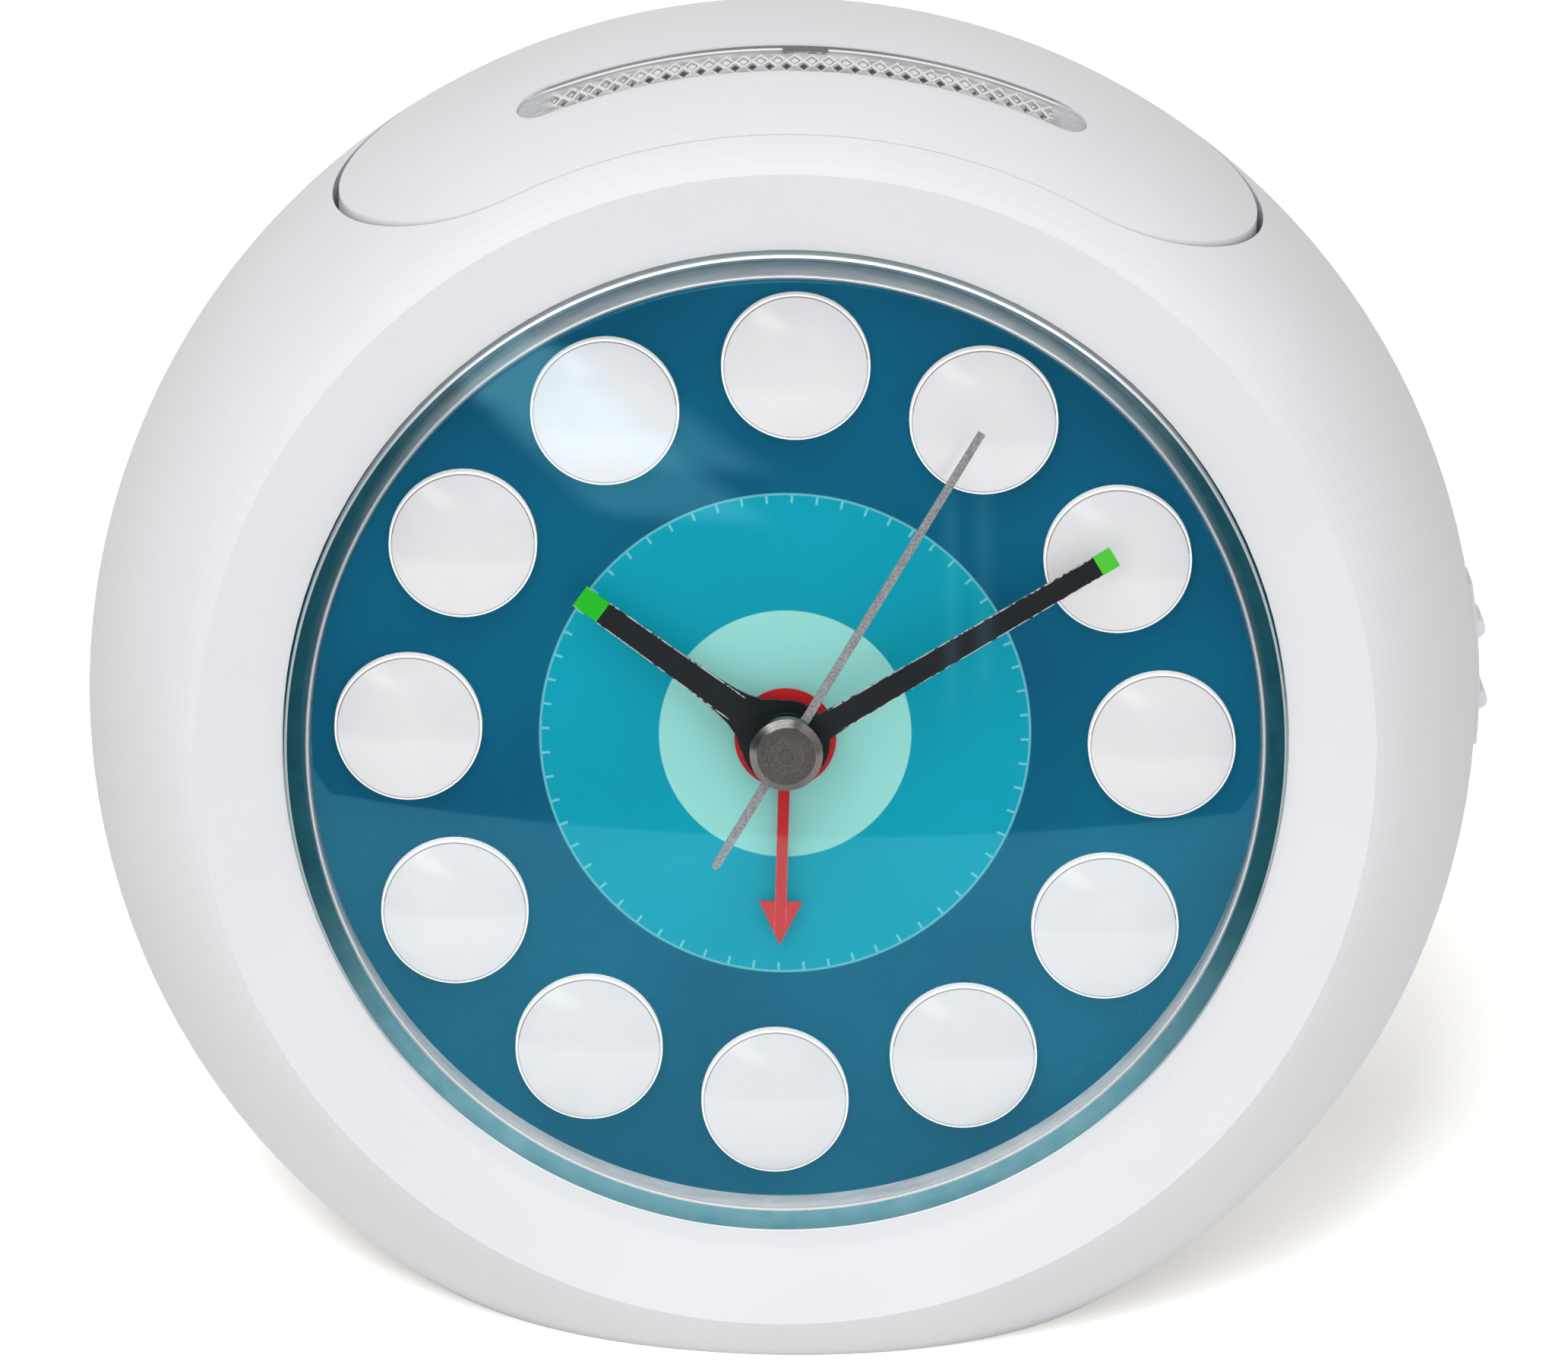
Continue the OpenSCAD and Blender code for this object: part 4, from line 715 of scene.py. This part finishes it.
def window():
    """The night light's clear window: two rows of prisms along the front, a smooth strip behind them, all
    drawn opaque in painted light and shade.
    """
    dx, dz = PRISM_A / PRISM_CUTS, PRISM_B / PRISM_CUTS
    rows = int(2 * WINDOW_R / dz)
    straight = WINDOW_HALF - WINDOW_R
    n = int(straight / dx)
    ends = [straight + WINDOW_R * math.sin(math.pi / 2 * i / 14) for i in range(1, 14)]
    xs = [-x for x in reversed(ends)] + [i * dx for i in range(-n, n + 1)] + ends
    front = PRISM_ROW + round((WINDOW_MID + WINDOW_R - PRISM_ROW) / dz) * dz
    bm = bmesh.new()
    top, foot = [], []
    for x in xs:
        over = max(0.0, abs(x) - straight)
        half = math.sqrt(max(0.0, WINDOW_R ** 2 - over ** 2)) / WINDOW_R
        depth = [WINDOW_MID + (front - j * dz - WINDOW_MID) * half for j in range(rows + 1)]
        line = []
        for j, z in enumerate(depth):
            level = prism(x, z)[0] if abs(x) < PRISM_END else 2.0
            dip = PRISM_DEEP * (1.0 - level) if level < 1.0 else 0.0
            round_off = 0.25 * max(0.0, 1.0 - j * dz * half / 0.4) ** 2
            line.append(bm.verts.new(in_clock(x, skin(x, z, WINDOW_SINK) - dip - round_off, z)))
        top.append(line)
        foot.append([bm.verts.new(in_clock(x, skin(x, z, WINDOW_DEEP), z)) for z in (depth[0], depth[-1])])
    for i in range(len(xs) - 1):
        x = (xs[i] + xs[i + 1]) / 2
        for j in range(rows):
            a, b, c, d = top[i][j], top[i + 1][j], top[i + 1][j + 1], top[i][j + 1]
            z = front - (j + 0.5) * dz
            if abs(x) < PRISM_END and prism(x, z)[0] < 1.02:
                corners = prism(xs[i], front - j * dz)[0] + prism(xs[i + 1], front - (j + 1) * dz)[0]
                u, v = dx / 6, dz / 6
                if abs(corners / 2 - prism(x, z)[0]) < 1e-6:
                    tris = ((a, b, c, x + u, z + v), (a, c, d, x - u, z - v))
                else:
                    tris = ((a, b, d, x - u, z + v), (b, c, d, x + u, z - v))
                for p, q, r, mid_x, mid_z in tris:
                    bm.faces.new((p, q, r)).material_index = prism_look(mid_x, mid_z)
            else:
                bm.faces.new((a, b, c, d))
        bm.faces.new((top[i][0], foot[i][0], foot[i + 1][0], top[i + 1][0]))
        bm.faces.new((top[i][rows], top[i + 1][rows], foot[i + 1][1], foot[i][1]))
        bm.faces.new((foot[i][0], foot[i][1], foot[i + 1][1], foot[i + 1][0]))
    for i, flip in ((0, 1), (-1, -1)):
        bm.faces.new((top[i] + foot[i][::-1])[::flip])
    # The prism faces are one finish at painted levels of light and shade: a near-black painted shade, a
    # painted highlight and two shaded sides.
    looks = [pane("window_pane_painted_light"), painted_facet("prism_side_painted_light", 0.44), painted_facet("prism_heart_painted_shade", 0.012),
             painted_facet("prism_painted_highlight", 0.88), painted_facet("prism_painted_shade", 0.24)]
    obj = solid("light_window", bm, looks, 12.0)
    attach(obj, "snooze")
    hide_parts("snooze_window")


def springs():
    """The two return springs of the bar, as a copy of their part fixed to the case."""
    node = nodes["snooze_springs"]
    obj = bpy.data.objects.new("bar_springs", node.data.copy())
    scene.collection.objects.link(obj)
    bpy.context.view_layer.update()
    obj.matrix_world = node.matrix_world.copy()
    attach(obj, "case")
    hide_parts("snooze_springs")
    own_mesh(obj)


lens()
domes()
second()
lip()
window()
springs()


# Floor, light and camera, in metres
FLOOR_HALF, FLOOR_NEAR, FLOOR_FAR = 2.5, -0.36, 6.0


def floor():
    """Pale paper, lifted a little in brightness with the distance from the clock."""
    bm = bmesh.new()
    corners = ((-FLOOR_HALF, FLOOR_NEAR, 0), (FLOOR_HALF, FLOOR_NEAR, 0),
               (FLOOR_HALF, FLOOR_FAR, 0), (-FLOOR_HALF, FLOOR_FAR, 0))
    bm.faces.new([bm.verts.new(v) for v in corners])
    mesh = bpy.data.meshes.new("floor")
    bm.to_mesh(mesh)
    bm.free()
    obj = bpy.data.objects.new("floor", mesh)
    scene.collection.objects.link(obj)
    m = Tree("floor_paper")
    p = m.object_mm()
    x, y, z = m.split(p)
    weave = m.noise(p, 1.2, 3.0, 0.6)
    path = m.add("ShaderNodeLightPath").outputs
    col = m.mix(weave, rgb(0.86, 0.85, 0.835), rgb(0.90, 0.895, 0.885))
    col = m.mix(path["Is Diffuse Ray"], col, rgb(0.49, 0.485, 0.478))
    paper = m.shader(col, 0.7, m.bump(weave, 0.3, 0.1), Specular_IOR_Level=0.2)
    seen = m.math("MAXIMUM", path["Is Glossy Ray"], path["Is Transmission Ray"])
    seen = m.math("MAXIMUM", path["Is Camera Ray"], seen)
    level = m.scaled(m.ramp(m.radius(x, y), 60.0, 260.0), 0.2, 0.35)
    glow = m.add("ShaderNodeEmission", {0: rgb(1.0, 0.955, 0.89), 1: m.product(seen, level)}).outputs[0]
    obj.data.materials.append(m.finish(m.add("ShaderNodeAddShader", {0: paper, 1: glow}).outputs[0]))
    obj.visible_glossy = False
    return obj


# Soft light from the sides of the room
SOFT_FRONT, SOFT_BACK, SOFT_LEFT = 1.88, 1.09, 0.08


def reflected(m, x, y, z):
    """What polished faces see: a dim front, a card, a dark top, the floor, a softbox and a strip."""
    ahead = m.ramp(y, 0.0, -0.3)
    side = m.math("DIVIDE", x, m.math("MAXIMUM", m.scaled(y, -1.0), 0.05))
    slant = m.math("ADD", side, m.scaled(m.math("SUBTRACT", z, 0.21), 1.6))
    card = m.product(m.band(z, 0.64, 0.86, 0.05), m.ramp(y, 0.05, -0.1))
    ground = m.product(m.ramp(z, -0.12, -0.17), ahead)
    box = m.product(m.band(slant, -0.2, -0.01, 0.03), m.band(z, 0.21, 0.5, 0.012), ahead)
    strip = m.product(m.band(side, 0.19, 0.205, 0.008), m.band(z, 0.0, 0.24, 0.04), ahead)
    col = m.mix(m.ramp(y, 0.0, 0.3), rgb(0.09, 0.091, 0.094), rgb(0.9, 0.9, 0.9))
    col = m.mix(m.ramp(z, 0.88, 0.96), col, rgb(0.05, 0.05, 0.055))
    col = m.mix(card, col, rgb(1.3, 1.3, 1.3))
    col = m.mix(ground, col, rgb(0.52, 0.52, 0.52))
    col = m.mix(box, col, rgb(3.6, 3.4, 3.4))
    return m.mix(strip, col, rgb(1.3, 1.2, 1.2))


def world():
    """White behind the clock, soft light from front, back and left, and what polished faces see."""
    m = Tree("studio", world=True)
    scene.world = m.mat
    x, y, z = m.split(m.add("ShaderNodeTexCoord").outputs["Generated"])
    path = m.add("ShaderNodeLightPath").outputs
    soft = 0.0
    for axis, sign, level in ((y, -1, SOFT_FRONT), (y, 1, SOFT_BACK), (x, -1, SOFT_LEFT)):
        facing = m.math("MAXIMUM", m.scaled(axis, sign), 0.0)
        soft = m.math("ADD", m.product(facing, facing, level), soft)
    through = m.mix(m.ramp(y, -0.25, 0.35), rgb(0.22, 0.22, 0.23), rgb(1.0, 1.0, 1.0))
    col = m.mix(path["Is Transmission Ray"], soft, through)
    col = m.mix(path["Is Camera Ray"], col, rgb(1.0, 1.0, 1.0))
    col = m.mix(path["Is Glossy Ray"], col, reflected(m, x, y, z))
    m.finish(m.add("ShaderNodeBackground", {0: col, 1: 1.0}).outputs[0])
    m.mat.cycles.sampling_method = "NONE"


def lamp(name, place, target, size, power, color=(1, 1, 1)):
    data = bpy.data.lights.new(name, "AREA")
    data.shape = "RECTANGLE"
    data.size, data.size_y = size
    data.energy = power
    data.color = color
    obj = bpy.data.objects.new(name, data)
    obj.location = place
    obj.rotation_euler = (Vector(target) - Vector(place)).to_track_quat("-Z", "Y").to_euler()
    obj.visible_glossy = False
    scene.collection.objects.link(obj)
    return obj


paper = bpy.data.collections.new("paper")
paper.objects.link(floor())
world()
over = lamp("softbox_paper", (-0.2, -0.7, 0.8), (0, 0.02, 0), (0.5, 0.5), 13.0)
over.light_linking.receiver_collection = paper
lamp("softbox_top", (-0.25, -0.35, 1.1), (0, 0, 0.05), (1.0, 0.8), 7.5, (1.0, 0.995, 0.985))
lamp("softbox_right", (1.2, -0.6, 0.6), (0, 0, 0.05), (0.7, 0.9), 1.95, (1.0, 0.99, 0.975))

# The camera against the clock's frame: three turns, distance and offset, focal length in photo pixels
PITCH, YAW, ROLL = math.radians(12.83), math.radians(1.04), math.radians(-1.62)
REACH, OFFSET = 831.6, Vector((0.0891, -4.128, 0.0))
FOCAL_PX, PHOTO_W, SENSOR_W = 13830.0, 2064.0, 36.0


def camera():
    turn = Matrix.Rotation(ROLL, 3, "Z") @ Matrix.Rotation(PITCH, 3, "X") @ Matrix.Rotation(YAW, 3, "Y")
    pose = turn.transposed().to_4x4()
    pose.translation = turn.transposed() @ (Vector((0, 0, REACH)) - OFFSET) * MM
    data = bpy.data.cameras.new("camera")
    data.sensor_fit = "HORIZONTAL"
    data.sensor_width = SENSOR_W
    data.lens = SENSOR_W * FOCAL_PX / PHOTO_W
    data.clip_start, data.clip_end = 0.05, 50.0
    obj = bpy.data.objects.new("camera", data)
    obj.matrix_world = CLOCK @ pose
    scene.collection.objects.link(obj)
    scene.camera = obj


camera()

bpy.context.view_layer.update()
